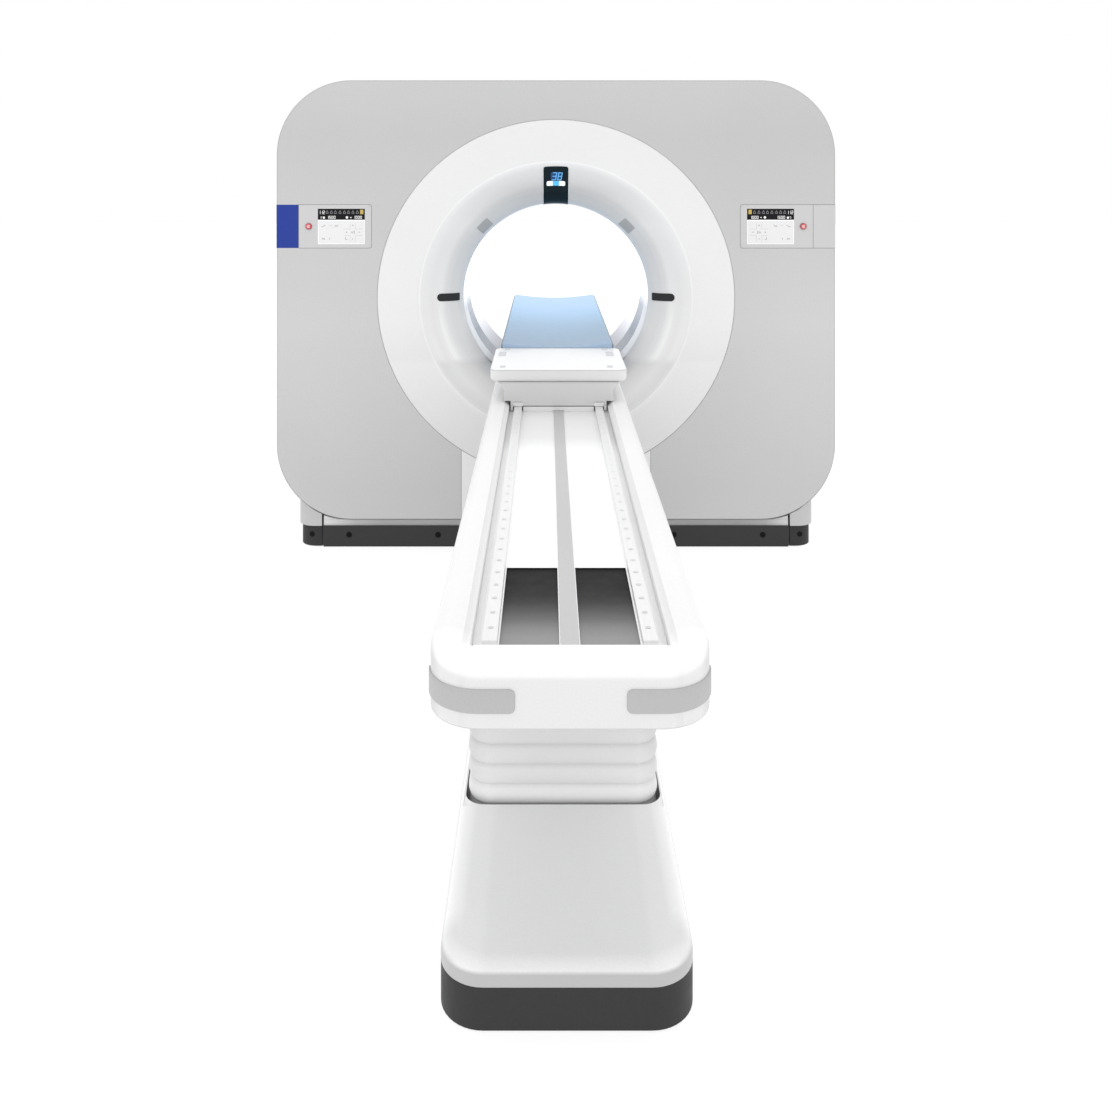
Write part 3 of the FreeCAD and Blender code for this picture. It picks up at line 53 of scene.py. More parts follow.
SLOPE_END = (0.4667, -0.3414)  # radius and Y where the rounded mouth starts
MOUTH = (0.4842, -0.259)  # centre of the mouth's rounding
MOUTH_R = 0.0842
MOUTH_TURN = math.radians(78)
THROAT_R = 0.400
BELL = SLOPE + MOUTH_R * MOUTH_TURN  # length of the bell from crease to throat
STROKE_LIFT = 0.00002  # height of one printed line above the one before it
RING_SIDES = 256  # sides of a turned ring
PATCH_COLUMNS = 12  # faces across a window set on the bell
PITCH, FOLD_START = 0.0467, 0.019  # height of one fold of the bellows, and where the first fold starts
EDGE = 0.0012  # radius that the light sees on a sharp edge
BRIGHT = 0.92  # how much of its colour a surface keeps in the studio's light


# ---- materials


def srgb(*levels):
    """Linear colour of sRGB levels out of 255."""
    shares = [level / 255 for level in levels]
    return [c / 12.92 if c <= 0.04045 else ((c + 0.055) / 1.055) ** 2.4 for c in shares]


def wire(tree, kind, inputs=(), **fields):
    """A new node with its fields set and its inputs filled by values or sockets."""
    node = tree.nodes.new(kind)
    for field, value in fields.items():
        setattr(node, field, value)
    for key, value in dict(inputs).items():
        if isinstance(value, bpy.types.NodeSocket):
            tree.links.new(value, node.inputs[key])
        else:
            node.inputs[key].default_value = value
    return node


def tone(levels):
    """Linear colour of three levels out of 255, or of one grey level."""
    return srgb(*levels) if isinstance(levels, tuple) else srgb(levels, levels, levels)


def ramp(tree, value, stops):
    """Colour read off stops of (value, levels)."""
    low, high = stops[0][0], stops[-1][0]
    node = wire(tree, "ShaderNodeValToRGB", {"Fac": span(tree, value, low, high)})
    marks = node.color_ramp.elements
    for place, levels in stops[1:-1]:
        marks.new((place - low) / (high - low)).color = (*tone(levels), 1.0)
    marks[0].color, marks[-1].color = (*tone(stops[0][1]), 1.0), (*tone(stops[-1][1]), 1.0)
    return node.outputs["Color"]


def span(tree, value, low, high, start=0.0, end=1.0):
    """value moved from low..high to start..end and held there."""
    numbers = {0: value, 1: low, 2: high, 3: start, 4: end}
    return wire(tree, "ShaderNodeMapRange", numbers).outputs[0]


def place_of(tree):
    """The place on the object, in its own space."""
    return wire(tree, "ShaderNodeTexCoord").outputs["Object"]


def axis_of(tree, axis):
    """X, Y or Z of the place, as 0, 1 or 2."""
    return wire(tree, "ShaderNodeSeparateXYZ", {0: place_of(tree)}).outputs[axis]


def facing(tree, axis):
    """One part of the surface's own normal."""
    normal = wire(tree, "ShaderNodeNewGeometry").outputs["Normal"]
    return wire(tree, "ShaderNodeSeparateXYZ", {0: normal}).outputs[axis]


def calc(tree, operation, *values):
    """One sum on numbers, such as MULTIPLY."""
    return wire(tree, "ShaderNodeMath", dict(enumerate(values)), operation=operation).outputs[0]


def product(tree, *values):
    """Numbers multiplied together."""
    made = values[0]
    for value in values[1:]:
        made = calc(tree, "MULTIPLY", made, value)
    return made


def size_of(tree, value):
    """A number without its sign."""
    return calc(tree, "ABSOLUTE", value)


def dim(tree, colour, share):
    """A colour times a number."""
    return wire(tree, "ShaderNodeVectorMath", {0: colour, "Scale": share}, operation="SCALE").outputs[0]


def between(tree, share, first, second):
    """Number between two numbers."""
    return wire(tree, "ShaderNodeMix", {0: share, 2: first, 3: second}).outputs[0]


def fade(tree, mask, share):
    """1 where a mask is 0, and share where it is 1."""
    return span(tree, mask, 0.0, 1.0, 1.0, share)


def mix(tree, share, first, second):
    """Colour between two colours."""
    return wire(tree, "ShaderNodeMix", {0: share, 6: first, 7: second}, data_type="RGBA").outputs[2]


def bore_radius(tree):
    """Distance from the bore axis."""
    moved = wire(tree, "ShaderNodeVectorMath", {0: place_of(tree), 1: (0, 0, -BORE_Z)}, operation="ADD")
    flat = wire(tree, "ShaderNodeVectorMath", {0: moved.outputs[0], 1: (1, 0, 1)}, operation="MULTIPLY")
    return wire(tree, "ShaderNodeVectorMath", {0: flat.outputs[0]}, operation="LENGTH").outputs["Value"]


def along(axis, stops):
    """A tint that reads its colour off stops along X, Y or Z."""
    return lambda tree: ramp(tree, axis_of(tree, axis), stops)


def noise(tree, scale, detail, stretch=(1, 1, 1)):
    """Noise that is fixed to the object."""
    at = place_of(tree)
    if stretch != (1, 1, 1):
        at = wire(tree, "ShaderNodeVectorMath", {0: at, 1: stretch}, operation="MULTIPLY").outputs[0]
    return wire(tree, "ShaderNodeTexNoise", {"Vector": at, "Scale": scale, "Detail": detail}).outputs[0]


def finish(
    name, colour, rough=0.4, metal=0.0, grain=(300, 0.02), drift=0.015, bump=(1200, 0.0001),
    coat=0.0, glow=0.0, stretch=(1, 1, 1), spec=0.4,
):
    """A material: a colour or tint with fine grain and slow drift, bumpy by noise, with softened edges."""
    made = bpy.data.materials.new(name)
    made.use_nodes = True
    tree = made.node_tree
    tree.nodes.clear()
    base = colour(tree) if callable(colour) else tuple(tone(colour))
    fine = span(tree, noise(tree, grain[0], 2.0, stretch), 0.3, 0.7, 1 - grain[1], 1 + grain[1])
    slow = span(tree, noise(tree, 1.7, 2.0), 0.3, 0.7, 1 - drift, 1 + drift)
    shade = dim(tree, base, product(tree, fine, slow, BRIGHT))
    polish = span(tree, noise(tree, 35, 4.0), 0.3, 0.7, rough * 0.9, rough * 1.1)
    edges = wire(tree, "ShaderNodeBevel", {"Radius": EDGE}, samples=4).outputs[0]
    bumps = {"Height": noise(tree, bump[0], 2.0, stretch), "Distance": bump[1], "Strength": 1.0, "Normal": edges}
    relief = wire(tree, "ShaderNodeBump", bumps).outputs[0]
    links = {"Base Color": shade, "Roughness": polish, "Metallic": metal, "Normal": relief}
    links |= {"Coat Weight": coat, "Coat Roughness": 0.15, "Specular IOR Level": spec}
    if glow:
        links |= {"Emission Color": shade, "Emission Strength": glow(tree) if callable(glow) else glow}
    shader = wire(tree, "ShaderNodeBsdfPrincipled", links)
    wire(tree, "ShaderNodeOutputMaterial", {"Surface": shader.outputs[0]})
    return made


def cover_painted_shade(tree):
    """Cover grey, painted lightest half way up, with painted shade on its bevels, darkest on those that look
    down.
    """
    # Painted light by height: lightest half way up.
    stops = [(0.25, 202), (0.6, 208), (0.95, 213), (1.35, 207), (1.75, 201), (1.95, 204)]
    front = ramp(tree, axis_of(tree, 2), stops)
    # Painted shade on the bevels, set by the way each one faces.
    bevel = span(tree, facing(tree, 1), -0.95, -0.75, 1.0, 0.80)
    return dim(tree, front, product(tree, bevel, span(tree, facing(tree, 2), -0.85, -0.15, 0.32, 1.0)))


def bell_painted_light(tree):
    """White ring and bell with painted light and shade: the bell turns cooler and, by painted shade, darker
    towards its throat and low down, with a dark painted line at the throat's edge; a painted highlight on the
    crease, a painted reflection band below the side windows, and the ring painted darker low down and a little
    at the top.
    """
    radius, height = bore_radius(tree), axis_of(tree, 2)
    # Painted shade darkening the bell towards its throat, a dark painted line at the throat's edge, and a
    # painted highlight on the crease near 0.577.
    upper = [(0.4000, (239, 241, 243)), (0.4004, 211), (0.405, (219, 219, 218)), (0.430, 219)]
    upper += [(0.450, (215, 216, 217)), (0.470, (218, 219, 220)), (0.490, (232, 233, 233)), (0.510, 235)]
    upper += [(0.530, 237), (0.550, 241), (0.5750, 245), (0.5765, 251), (0.5812, 251), (0.583, 240)]
    # Painted shade on the bell below the table, again with a dark painted line at the throat's edge.
    lower = [(0.4000, 224), (0.4004, 160), (0.4035, 170), (0.4060, (218, 219, 221)), (0.450, 228)]
    lower += [(0.520, 243), (0.560, 235), (0.5750, 242), (0.5765, 252), (0.5812, 252), (0.583, 244)]
    # Painted light and shade by height: lighter low on the bell, darker at its top.
    deep = product(tree, span(tree, height, 0.83, 1.28, 1.26, 1.0), span(tree, height, 1.36, 1.52, 1.0, 0.82))
    rim = product(tree, span(tree, height, 0.83, 1.28, 1.09, 1.0), span(tree, height, 1.36, 1.52, 1.0, 0.90))
    turn = between(tree, span(tree, radius, 0.485, 0.530), deep, rim)
    turn = between(tree, span(tree, radius, 0.550, 0.576), turn, 1.0)
    high = dim(tree, ramp(tree, radius, upper), turn)
    bell = mix(tree, span(tree, height, 0.80, 0.775), high, ramp(tree, radius, lower))
    # Painted reflection: a light band on the bell below the side windows.
    inner, outer = span(tree, radius, 0.488, 0.4965), span(tree, radius, 0.5035, 0.5080, 1.0, 0.0)
    ends = product(tree, span(tree, height, 0.788, 0.793), span(tree, height, 0.97, 1.03, 1.0, 0.0))
    light = fade(tree, product(tree, inner, outer, ends), 1.05)
    # Painted shade on the flat ring: darker low down and a little at the top.
    low, high = span(tree, height, 0.45, 0.95, 0.87, 1.045), span(tree, height, 1.1, 1.7, 1.0, 0.945)
    ring = product(tree, low, high)
    return dim(tree, bell, between(tree, span(tree, radius, 0.56, 0.60), light, ring))


# Painted shade and light in the bore: the liner is darker low down and lighter up high; the blue-grey window
# film is painted darkest below the axis and lighter towards the top.
LINER_PAINTED_SHADE = along(2, [(0.66, (206, 206, 210)), (0.80, (218, 218, 223)), (0.90, (236, 236, 240))])
WINDOW_FILM_AND_SHADE = along(2, [
    (0.70, (172, 176, 182)), (0.80, (182, 188, 197)), (0.845, (166, 174, 186)), (0.87, (148, 159, 174)),
    (0.915, (170, 180, 195)), (0.96, (188, 195, 204)), (1.05, (220, 224, 230)),
])
# Painted shadow of the carriage: the rails and belt are darker towards it.
RAIL_CARRIAGE_SHADOW = along(1, [(-2.2, 246), (-1.80, 240), (-1.62, 226), (-1.39, 220)])
BELT_CARRIAGE_SHADOW = along(1, [(-1.9, 206), (-1.6, 192), (-1.39, 186)])
HOLE_TINT = along(1, [(-3.1, 220), (-2.5, 232), (-1.9, 244)])
# Painted shade on the plinth strips: darker along the middle under the cover, lighter towards the ends.
STRIP_PAINTED_SHADE = along(0, [(-0.97, 226), (-0.85, 192), (-0.74, 177), (0.78, 164), (0.89, 176), (0.97, 214)])
# Painted shade: a dark sheet in the gap round the bellows, black near the free end and fading along the sides.
GAP_PAINTED_SHADE = along(1, [(-2.43, 45), (-2.39, 60), (-2.33, 130), (-2.27, 195), (-2.20, 226)])
# Painted shade: the hatch wells are shallow plates painted darker towards their far ends, for the shade down in
# the wells.
HATCH_PAINTED_SHADE = along(1, [
    (-3.12, 160), (-3.09, 157), (-3.05, 141), (-3.015, 116), (-2.975, 92), (-2.94, 70), (-2.91, 58),
    (-2.85, 48), (-2.78, 46),
])


def deck_share(tree):
    """1 on the two decks beside the trough, 0 on the free end."""
    across, run = size_of(tree, axis_of(tree, 0)), axis_of(tree, 1)
    return product(tree, span(tree, across, 0.125, 0.165), span(tree, run, -3.17, -3.11))


def couch_painted_light(tree):
    """Painted light and shade on white: brightest where it looks up and darker where it looks down, with painted
    shade on the greyer side edges, trough walls and decks, and a painted shadow towards the carriage.
    """
    up, side = facing(tree, 2), size_of(tree, facing(tree, 0))
    across = size_of(tree, axis_of(tree, 0))
    stops = [(-0.9, 200), (-0.5, 210), (-0.15, 236), (0.04, 239), (0.20, 250), (0.40, 254), (0.85, 254)]
    plain = ramp(tree, up, stops)
    edge = product(
        tree, span(tree, side, 0.75, 0.92), span(tree, up, 0.50, 0.28), span(tree, across, 0.19, 0.20)
    )
    wall = product(tree, span(tree, side, 0.2, 0.5), span(tree, across, 0.180, 0.176))
    far = span(tree, axis_of(tree, 1), -2.0, -1.4, 1.0, 0.91)
    far = product(tree, far, fade(tree, deck_share(tree), 0.962))
    return dim(tree, plain, product(tree, fade(tree, edge, 0.84), fade(tree, wall, 0.93), far))


def couch_glow(tree):
    """Painted light: a glow strongest on top of the free end, weaker along the decks."""
    top = span(tree, facing(tree, 2), 0.1, 0.35)
    return product(tree, top, span(tree, deck_share(tree), 0.0, 1.0, 0.09, 0.0))


def trough_painted_shadow(tree):
    """White floor with painted shade beside the rails and a soft painted shadow in front of the carriage."""
    plain = ramp(tree, axis_of(tree, 1), [(-1.90, 254), (-1.74, 245), (-1.60, 240), (-1.39, 234)])
    return dim(tree, plain, span(tree, size_of(tree, axis_of(tree, 0)), 0.148, 0.152, 1.0, 0.87))


def carriage_painted_shade(tree):
    """White top, light grey face and a darker foot, painted as light and shade, with a painted shadow under the
    overhang.
    """
    side = [(0.82, 217), (0.893, 219), (0.8965, 208), (0.899, 210), (0.901, 224), (0.906, 233), (0.942, 236)]
    top = span(tree, facing(tree, 2), 0.3, 0.7)
    return mix(tree, top, ramp(tree, axis_of(tree, 2), side), (0.96, 0.96, 0.96, 1))


def base_painted_light(tree):
    """Painted light and shade: a light grey top painted brighter along its sides, except near the free end, with
    painted shade on its side roundings and a darker upright rim.
    """
    across = size_of(tree, axis_of(tree, 0))
    stops = [(0.150, 244), (0.165, 248), (0.195, 249), (0.206, 252), (0.218, 254), (0.242, 254)]
    top = ramp(tree, across, stops)
    near = mix(tree, span(tree, axis_of(tree, 1), -2.78, -2.84), top, (0.86, 0.86, 0.86, 1))
    top = mix(tree, span(tree, across, 0.195, 0.215), top, near)
    edge = span(tree, size_of(tree, facing(tree, 0)), 0.60, 0.85)
    edge = product(tree, edge, span(tree, facing(tree, 2), 0.60, 0.35))
    top = dim(tree, top, fade(tree, edge, 0.84))
    return mix(tree, span(tree, facing(tree, 2), 0.35, 0.12), top, (*tone(196), 1))


def base_glow(tree):
    """Painted light: a glow along the sides of the base's top."""
    sides = span(tree, size_of(tree, axis_of(tree, 0)), 0.198, 0.215, 0.0, 0.07)
    return product(tree, sides, span(tree, facing(tree, 2), 0.35, 0.55))


def bellows_painted_shade(tree):
    """Light grey folds with painted shade: greyer round the corners, in the creases and high up, and dark where
    they sink into the base.
    """
    round_corner = span(tree, size_of(tree, facing(tree, 0)), 0.15, 0.8)
    plain = mix(tree, round_corner, (*tone(250), 1), (*tone(228), 1))
    height = axis_of(tree, 2)
    crease = calc(tree, "PINGPONG", calc(tree, "SUBTRACT", height, FOLD_START), PITCH / 2)
    ends = span(tree, height, 0.114, 0.122, 0.45, 1.0), span(tree, height, 0.185, 0.269, 1.0, 0.90)
    return dim(tree, plain, product(tree, *ends, span(tree, crease, 0.001, 0.009, 0.91, 1.0)))


def mat_painted_shade(tree):
    """Pale blue, with painted shade: darker near the carriage and along its side edges."""
    stops = [(-0.960, (168, 192, 217)), (-0.956, (156, 178, 201)), (-0.2, (166, 196, 220))]
    stops += [(0.62, (182, 210, 240))]
    edge = span(tree, size_of(tree, axis_of(tree, 0)), 0.199, 0.2025, 1.0, 0.75)
    return dim(tree, ramp(tree, axis_of(tree, 1), stops), edge)


def glow_along(axis, low, high, start, end):
    """Light of its own that changes along X, Y or Z."""
    return lambda tree: span(tree, axis_of(tree, axis), low, high, start, end)


def throat_glow(tree):
    """Painted light: a glow on the upper part of the throat behind the bell."""
    throat = span(tree, bore_radius(tree), 0.4002, 0.4006, 0.7, 0.0)
    return product(tree, throat, span(tree, axis_of(tree, 2), 1.0, 1.08))


COVER = finish("cover_paint", cover_painted_shade, 0.42, grain=(240, 0.05), bump=(700, 0.00025))
BODY = finish("body_paint", (203, 203, 204), 0.42, grain=(240, 0.05), bump=(700, 0.00025))
PANEL = finish("panel_paint", (211, 211, 212), 0.38, grain=(240, 0.03), bump=(700, 0.0001))
BELL_WHITE = finish("bell_plastic", bell_painted_light, 0.33, glow=throat_glow)
WHITE = finish("white_plastic", 240, 0.35)
COUCH = finish("couch_plastic", couch_painted_light, 0.34, glow=couch_glow)
# Painted light: the trough floor glows away from the carriage.
TROUGH = finish("trough_plastic", trough_painted_shadow, 0.34, glow=glow_along(1, -1.90, -1.74, 0.09, 0.0))
CARRIAGE = finish("carriage_plastic", carriage_painted_shade, 0.34)
BASE = finish("base_plastic", base_painted_light, 0.36, glow=base_glow)
PALE = finish("pod_plastic", (197, 197, 198), 0.42)
STRIP = finish("strip_plastic", STRIP_PAINTED_SHADE, 0.5)
DARK = finish("kick_plate_paint", (56, 56, 57), 0.5, grain=(260, 0.05), spec=0.2)
SKIRT = finish("corner_skirt_paint", (60, 60, 61), 0.5, grain=(260, 0.05), spec=0.1)
DARKER = finish("screw_paint", (18, 18, 20), 0.45, spec=0.1)
SEAM = finish("seam_gasket", (150, 151, 153), 0.7)
RING_SEAM = finish("ring_gasket", (198, 199, 200), 0.7)
# Painted light: the liner and the window film glow in the upper part of the bore.
LINER = finish("liner_plastic", LINER_PAINTED_SHADE, 0.4, glow=glow_along(2, 0.73, 1.02, 0.0, 0.88), spec=0.2)
WINDOW = finish("window_film", WINDOW_FILM_AND_SHADE, 0.3, glow=glow_along(2, 0.99, 1.07, 0.0, 1.0), spec=0.3)
GLASS = finish("black_glass", (24, 36, 42), 0.12, spec=0.08)
SMOKED = finish("smoked_glass", (173, 174, 175), 0.3)
SLOT = finish("sensor_glass", (50, 52, 53), 0.35, spec=0.15)
RIM = finish("display_rim", (236, 238, 240), 0.3)
DIGIT = finish("display_digits", (98, 172, 232), 0.4, glow=0.35)
PILL_WHITE = finish("display_bar_white", (240, 244, 247), 0.4, glow=0.4)
PILL_BLUE = finish("display_bar_blue", (84, 182, 232), 0.4, glow=0.35)
GLOW_BLUE = finish("display_halo", (12, 70, 120), 0.4)
SCREEN = finish("screen_white", (233, 233, 234), 0.25, glow=0.1, grain=(300, 0.004))
SCREEN_RIM = finish("screen_bright_edge", 250, 0.25, glow=0.2)
HEADER = finish("screen_header", (34, 34, 36), 0.5, spec=0.06)
MARK_GREY = finish("screen_mark_grey", (125, 125, 129), 0.3)
MARK_PALE = finish("screen_mark_pale", (205, 206, 208), 0.3)
MARK_MID = finish("screen_mark_mid", (176, 177, 179), 0.3)
MARK_WHITE = finish("screen_mark_white", 244, 0.3, glow=0.25)
AMBER = finish("screen_mark_amber", (204, 178, 92), 0.3)
BLUE = finish("plate_blue", (42, 66, 156), 0.4, spec=0.2)
RED = finish("button_red", (214, 92, 98), 0.3, coat=0.2)
RED_PALE = finish("button_mark", (250, 198, 198), 0.4)
BUMPER = finish("bumper_rubber", (193, 193, 194), 0.55, spec=0.2)
RAIL = finish("rail_coating", RAIL_CARRIAGE_SHADOW, 0.35, stretch=(1, 0.03, 1))
RAIL_HOLE = finish("rail_hole", HOLE_TINT, 0.6)
CAP = finish("cap_plastic", (216, 216, 218), 0.5)
BELT = finish("belt_rubber", BELT_CARRIAGE_SHADOW, 0.6, grain=(900, 0.05), bump=(600, 0.0003), spec=0.2)
CARBON = finish("carbon_shell", (118, 128, 138), 0.35, grain=(500, 0.08))
# Painted light: the mat glows more towards its far end, inside the bore.
MAT = finish("mat_vinyl", mat_painted_shade, 0.5, grain=(500, 0.03), bump=(420, 0.0005), spec=0.3,
             glow=glow_along(1, -0.9, 0.6, 0.0, 0.11))
HATCH = finish("hatch_well_shade", HATCH_PAINTED_SHADE, 0.7, spec=0.1)
# Painted light: the lowest folds glow.
SKIN = finish("bellows_skin", bellows_painted_shade, 0.5, bump=(800, 0.0002), spec=0.2,
              glow=glow_along(2, 0.120, 0.185, 0.17, 0.0))
GAP = finish("bellows_gap_shade", GAP_PAINTED_SHADE, 0.7, spec=0.1)
# Painted shade: a dark grey stands in for the shadowed gap under the carriage's foot.
CARRIAGE_GAP_SHADE = finish("carriage_gap_shade", (150, 150, 152), 0.7, spec=0.1)
FRAME = finish("frame_paint", (122, 126, 132), 0.5, grain=(500, 0.05))
DRUM = finish("drum_paint", (176, 180, 184), 0.45)
STEEL = finish("bearing_steel", (176, 177, 180), 0.25, metal=1.0, stretch=(1, 0.05, 1))
BRASS = finish("slip_ring_brass", (196, 160, 92), 0.3, metal=1.0, stretch=(1, 30, 1))
COPPER = finish("coil_copper", (176, 106, 72), 0.4, metal=0.9, stretch=(30, 1, 30))
TUBE = finish("tube_metal", (168, 172, 178), 0.3, metal=0.8)
IRON = finish("weight_iron", (92, 94, 98), 0.6, metal=0.5, grain=(90, 0.1))

NODE_LOOKS = {
    COVER: "front_cover",
    BODY: "rear_cover top_cover left_side_cover right_side_cover",
    PANEL: "left_panel_bezel right_panel_bezel right_side_plate",
    BLUE: "left_side_plate",
    WHITE: "front_apron",
    PALE: "corner_pods",
    STRIP: "plinth_strips",
    DARK: "kick_plates couch_base_skirt",
    SKIRT: "corner_skirts",
    GLASS: "left_touchscreen right_touchscreen",
    FRAME: "gantry_base_frame stator_frame brush_block power_cabinet couch_frame couch_base_plate",
    DRUM: "rotor_drum hv_generator detector_arc",
    STEEL: "bearing_inner_race bearing_outer_race lift_actuator_rod rail_bearings",
    BRASS: "slip_ring",
    COPPER: "drive_coils",
    TUBE: "xray_tube tube_cooler lift_column_outer lift_column_inner lift_actuator table_motor",
    IRON: "counterweight collimator",
    TROUGH: "trough_floor",
    RAIL: "couch_rails",
    BELT: "table_belt",
    CARBON: "tabletop",
}
for look, names in NODE_LOOKS.items():
    for name in names.split():
        mesh = nodes[name].data
        mesh.materials.clear()
        mesh.materials.append(look)

# ---- mesh makers


def piece(name, points, faces, look, body, smooth=35.0, stands_for=(), slot=None):
    """A mesh object of one material that rides on a body."""
    mesh = bpy.data.meshes.new(name)
    mesh.from_pydata(points, [], faces)
    mesh.materials.append(look)
    mesh.shade_smooth()
    mesh.set_sharp_from_angle(angle=math.radians(smooth))
    mesh.update()
    made = bpy.data.objects.new(name, mesh)
    bpy.context.scene.collection.objects.link(made)
    if body:
        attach(made, body)
    if stands_for:
        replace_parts(made, *stands_for)
    return made


def skin(loops, closed=False, caps=False, start=0):
    """Faces between equal rings of points, with the last joined to the first or both ends capped."""
    count = len(loops[0])
    points = [p for loop in loops for p in loop]
    faces = []
    for i in range(len(loops) if closed else len(loops) - 1):
        a, b = start + i * count, start + (i + 1) % len(loops) * count
        for j in range(count):
            k = (j + 1) % count
            faces.append((a + j, a + k, b + k, b + j))
    if caps:
        faces.append(tuple(start + j for j in reversed(range(count))))
        faces.append(tuple(start + (len(loops) - 1) * count + j for j in range(count)))
    return points, faces


def solids(groups):
    """Points and faces of several capped skins as one mesh."""
    points, faces = [], []
    for loops in groups:
        more_points, more_faces = skin(loops, caps=True, start=len(points))
        points += more_points
        faces += more_faces
    return points, faces


def discs(x, z, profile, sides):
    """Rings about a line along Y through (x, z), from a profile of (radius, y)."""
    turns = [math.tau * i / sides for i in range(sides)]
    return [[(x + r * math.sin(a), y, z + r * math.cos(a)) for a in turns] for r, y in profile]


def lathe(name, profile, look, **more):
    """A ring about the bore axis from a closed profile of (radius, y)."""
    turns = [math.tau * i / RING_SIDES for i in range(RING_SIDES)]
    loops = [[(r * math.sin(a), y, BORE_Z + r * math.cos(a)) for r, y in profile] for a in turns]
    return piece(name, *skin(loops, closed=True), look, "gantry", **more)


def plan(half, near, far, near_radius, far_radius, steps=12):
    """A rounded outline seen from above, as (x, y, normal x, normal y)."""
    corners = (
        (half - near_radius, near + near_radius, near_radius, -90),
        (half - far_radius, far - far_radius, far_radius, 0),
        (far_radius - half, far - far_radius, far_radius, 90),
        (near_radius - half, near + near_radius, near_radius, 180),
    )
    made = []
    for x, y, radius, start in corners:
        for i in range(steps + 1):
            a = math.radians(start + 90 * i / steps)
            made.append((x + radius * math.cos(a), y + radius * math.sin(a), math.cos(a), math.sin(a)))
    return made


def level(outline, out, z):
    """The outline moved out by a distance at a height; both may be functions of the outward normal."""
    loop = []
    for x, y, nx, ny in outline:
        reach = out(nx, ny) if callable(out) else out
        loop.append((x + nx * reach, y + ny * reach, z(nx, ny) if callable(z) else z))
    return loop


def slabs(name, boxes, look, body, **more):
    """Plain blocks (x0, x1, y0, y1, z0, z1) as one piece."""
    groups = []
    for x0, x1, y0, y1, z0, z1 in boxes:
        ring = [(x0, y0), (x1, y0), (x1, y1), (x0, y1)]
        groups.append([[(x, y, z) for x, y in ring] for z in (z0, z1)])
    return piece(name, *solids(groups), look, body, **more)


def ribbon(line, width):
    """Left and right edges of a mark along a line, with mitred bends and square ends."""
    line = [spot for i, spot in enumerate(line) if i == 0 or math.dist(spot, line[i - 1]) > 1e-7]
    steps = [(c - a, d - b) for (a, b), (c, d) in zip(line, line[1:])]
    steps = [(da / math.hypot(da, db), db / math.hypot(da, db)) for da, db in steps]
    closed = len(line) > 2 and math.dist(line[0], line[-1]) < 1e-7
    edges = []
    for i, (a, b) in enumerate(line):
        before = steps[i - 1] if i or closed else steps[0]
        after = steps[i] if i < len(steps) else steps[0] if closed else steps[-1]
        bend = max(1 + before[0] * after[0] + before[1] * after[1], 0.5)
        da, db = (before[0] + after[0]) * width / 2 / bend, (before[1] + after[1]) * width / 2 / bend
        end = 0 if closed else -1 if i == 0 else 1 if i == len(steps) else 0
        a, b = a + end * after[0] * width / 2, b + end * after[1] * width / 2
        edges.append(((a + db, b - da), (a - db, b + da)))
    return edges


def strokes(name, lines, width, place, look, body="gantry", **more):
    """Flat marks of one width along lines of 2-D points, put on a surface by place(a, b).

    Lines that cross or meet lie a hair above one another, so no two faces share a plane."""
    points, faces = [], []
    for number, line in enumerate(lines):
        lift = STROKE_LIFT * (number % 7)
        start = len(points)
        for edge in ribbon(line, width):
            for a, b in edge:
                spot, right, up = (Vector(place(a + da, b + db)) for da, db in ((0, 0), (1e-4, 0), (0, 1e-4)))
                points.append(tuple(spot + (right - spot).cross(up - spot).normalized() * lift))
        for i in range(start, len(points) - 2, 2):
            faces.append((i, i + 2, i + 3, i + 1))
    return piece(name, points, faces, look, body, **more)


def dots(name, spots, place, look, body, sides=16, **more):
    """Flat round marks (a, b, radius) put on a surface by place(a, b)."""
    turns = [math.tau * i / sides for i in range(sides)]
    points, faces = [], []
    for a, b, radius in spots:
        faces.append(tuple(range(len(points), len(points) + sides)))
        points += [place(a + radius * math.cos(turn), b + radius * math.sin(turn)) for turn in turns]
    return piece(name, points, faces, look, body, **more)


SEGMENTS = {
    "a": ((0, 1), (1, 1)), "b": ((1, 1), (1, 0.5)), "c": ((1, 0.5), (1, 0)), "d": ((0, 0), (1, 0)),
    "e": ((0, 0), (0, 0.5)), "f": ((0, 0.5), (0, 1)), "g": ((0, 0.5), (1, 0.5)),
}
FIGURES = {"0": "abcdef", "1": "bc", "2": "abged", "3": "abgcd", "5": "afgcd", "8": "abcdefg"}


def figures(text, left, low, width, height, gap, slant=0.0):
    """Lines of seven-segment figures."""
    lines = []
    for i, figure in enumerate(text):
        at = left + i * (width + gap)
        for key in FIGURES[figure]:
            lines.append([(at + a * width + slant * b, low + b * height) for a, b in SEGMENTS[key]])
    return lines


# ---- ring and bell


def bell_at(along):
    """Radius, y and outward normal of the bell, a distance along it from the crease."""
    if along <= SLOPE:
        share = along / SLOPE
        radius = CREASE_R + (SLOPE_END[0] - CREASE_R) * share
        return radius, FRONT + (SLOPE_END[1] - FRONT) * share, -0.289, -0.957
    turn = math.radians(12) + (along - SLOPE) / MOUTH_R
    sin, cos = math.sin(turn), math.cos(turn)
    return MOUTH[0] - MOUTH_R * sin, MOUTH[1] - MOUTH_R * cos, -sin, -cos


def on_bell(across, along, turn=0.0, lift=0.0):
    """A point of the bell: across from a line of it, along it from the crease, lifted off it."""
    radius, y, out_r, out_y = bell_at(along)
    radius, y = radius + out_r * lift, y + out_y * lift
    up = math.sqrt(radius * radius - across * across)
    cos, sin = math.cos(turn), math.sin(turn)
    return (across * cos + up * sin, y, BORE_Z + up * cos - across * sin)


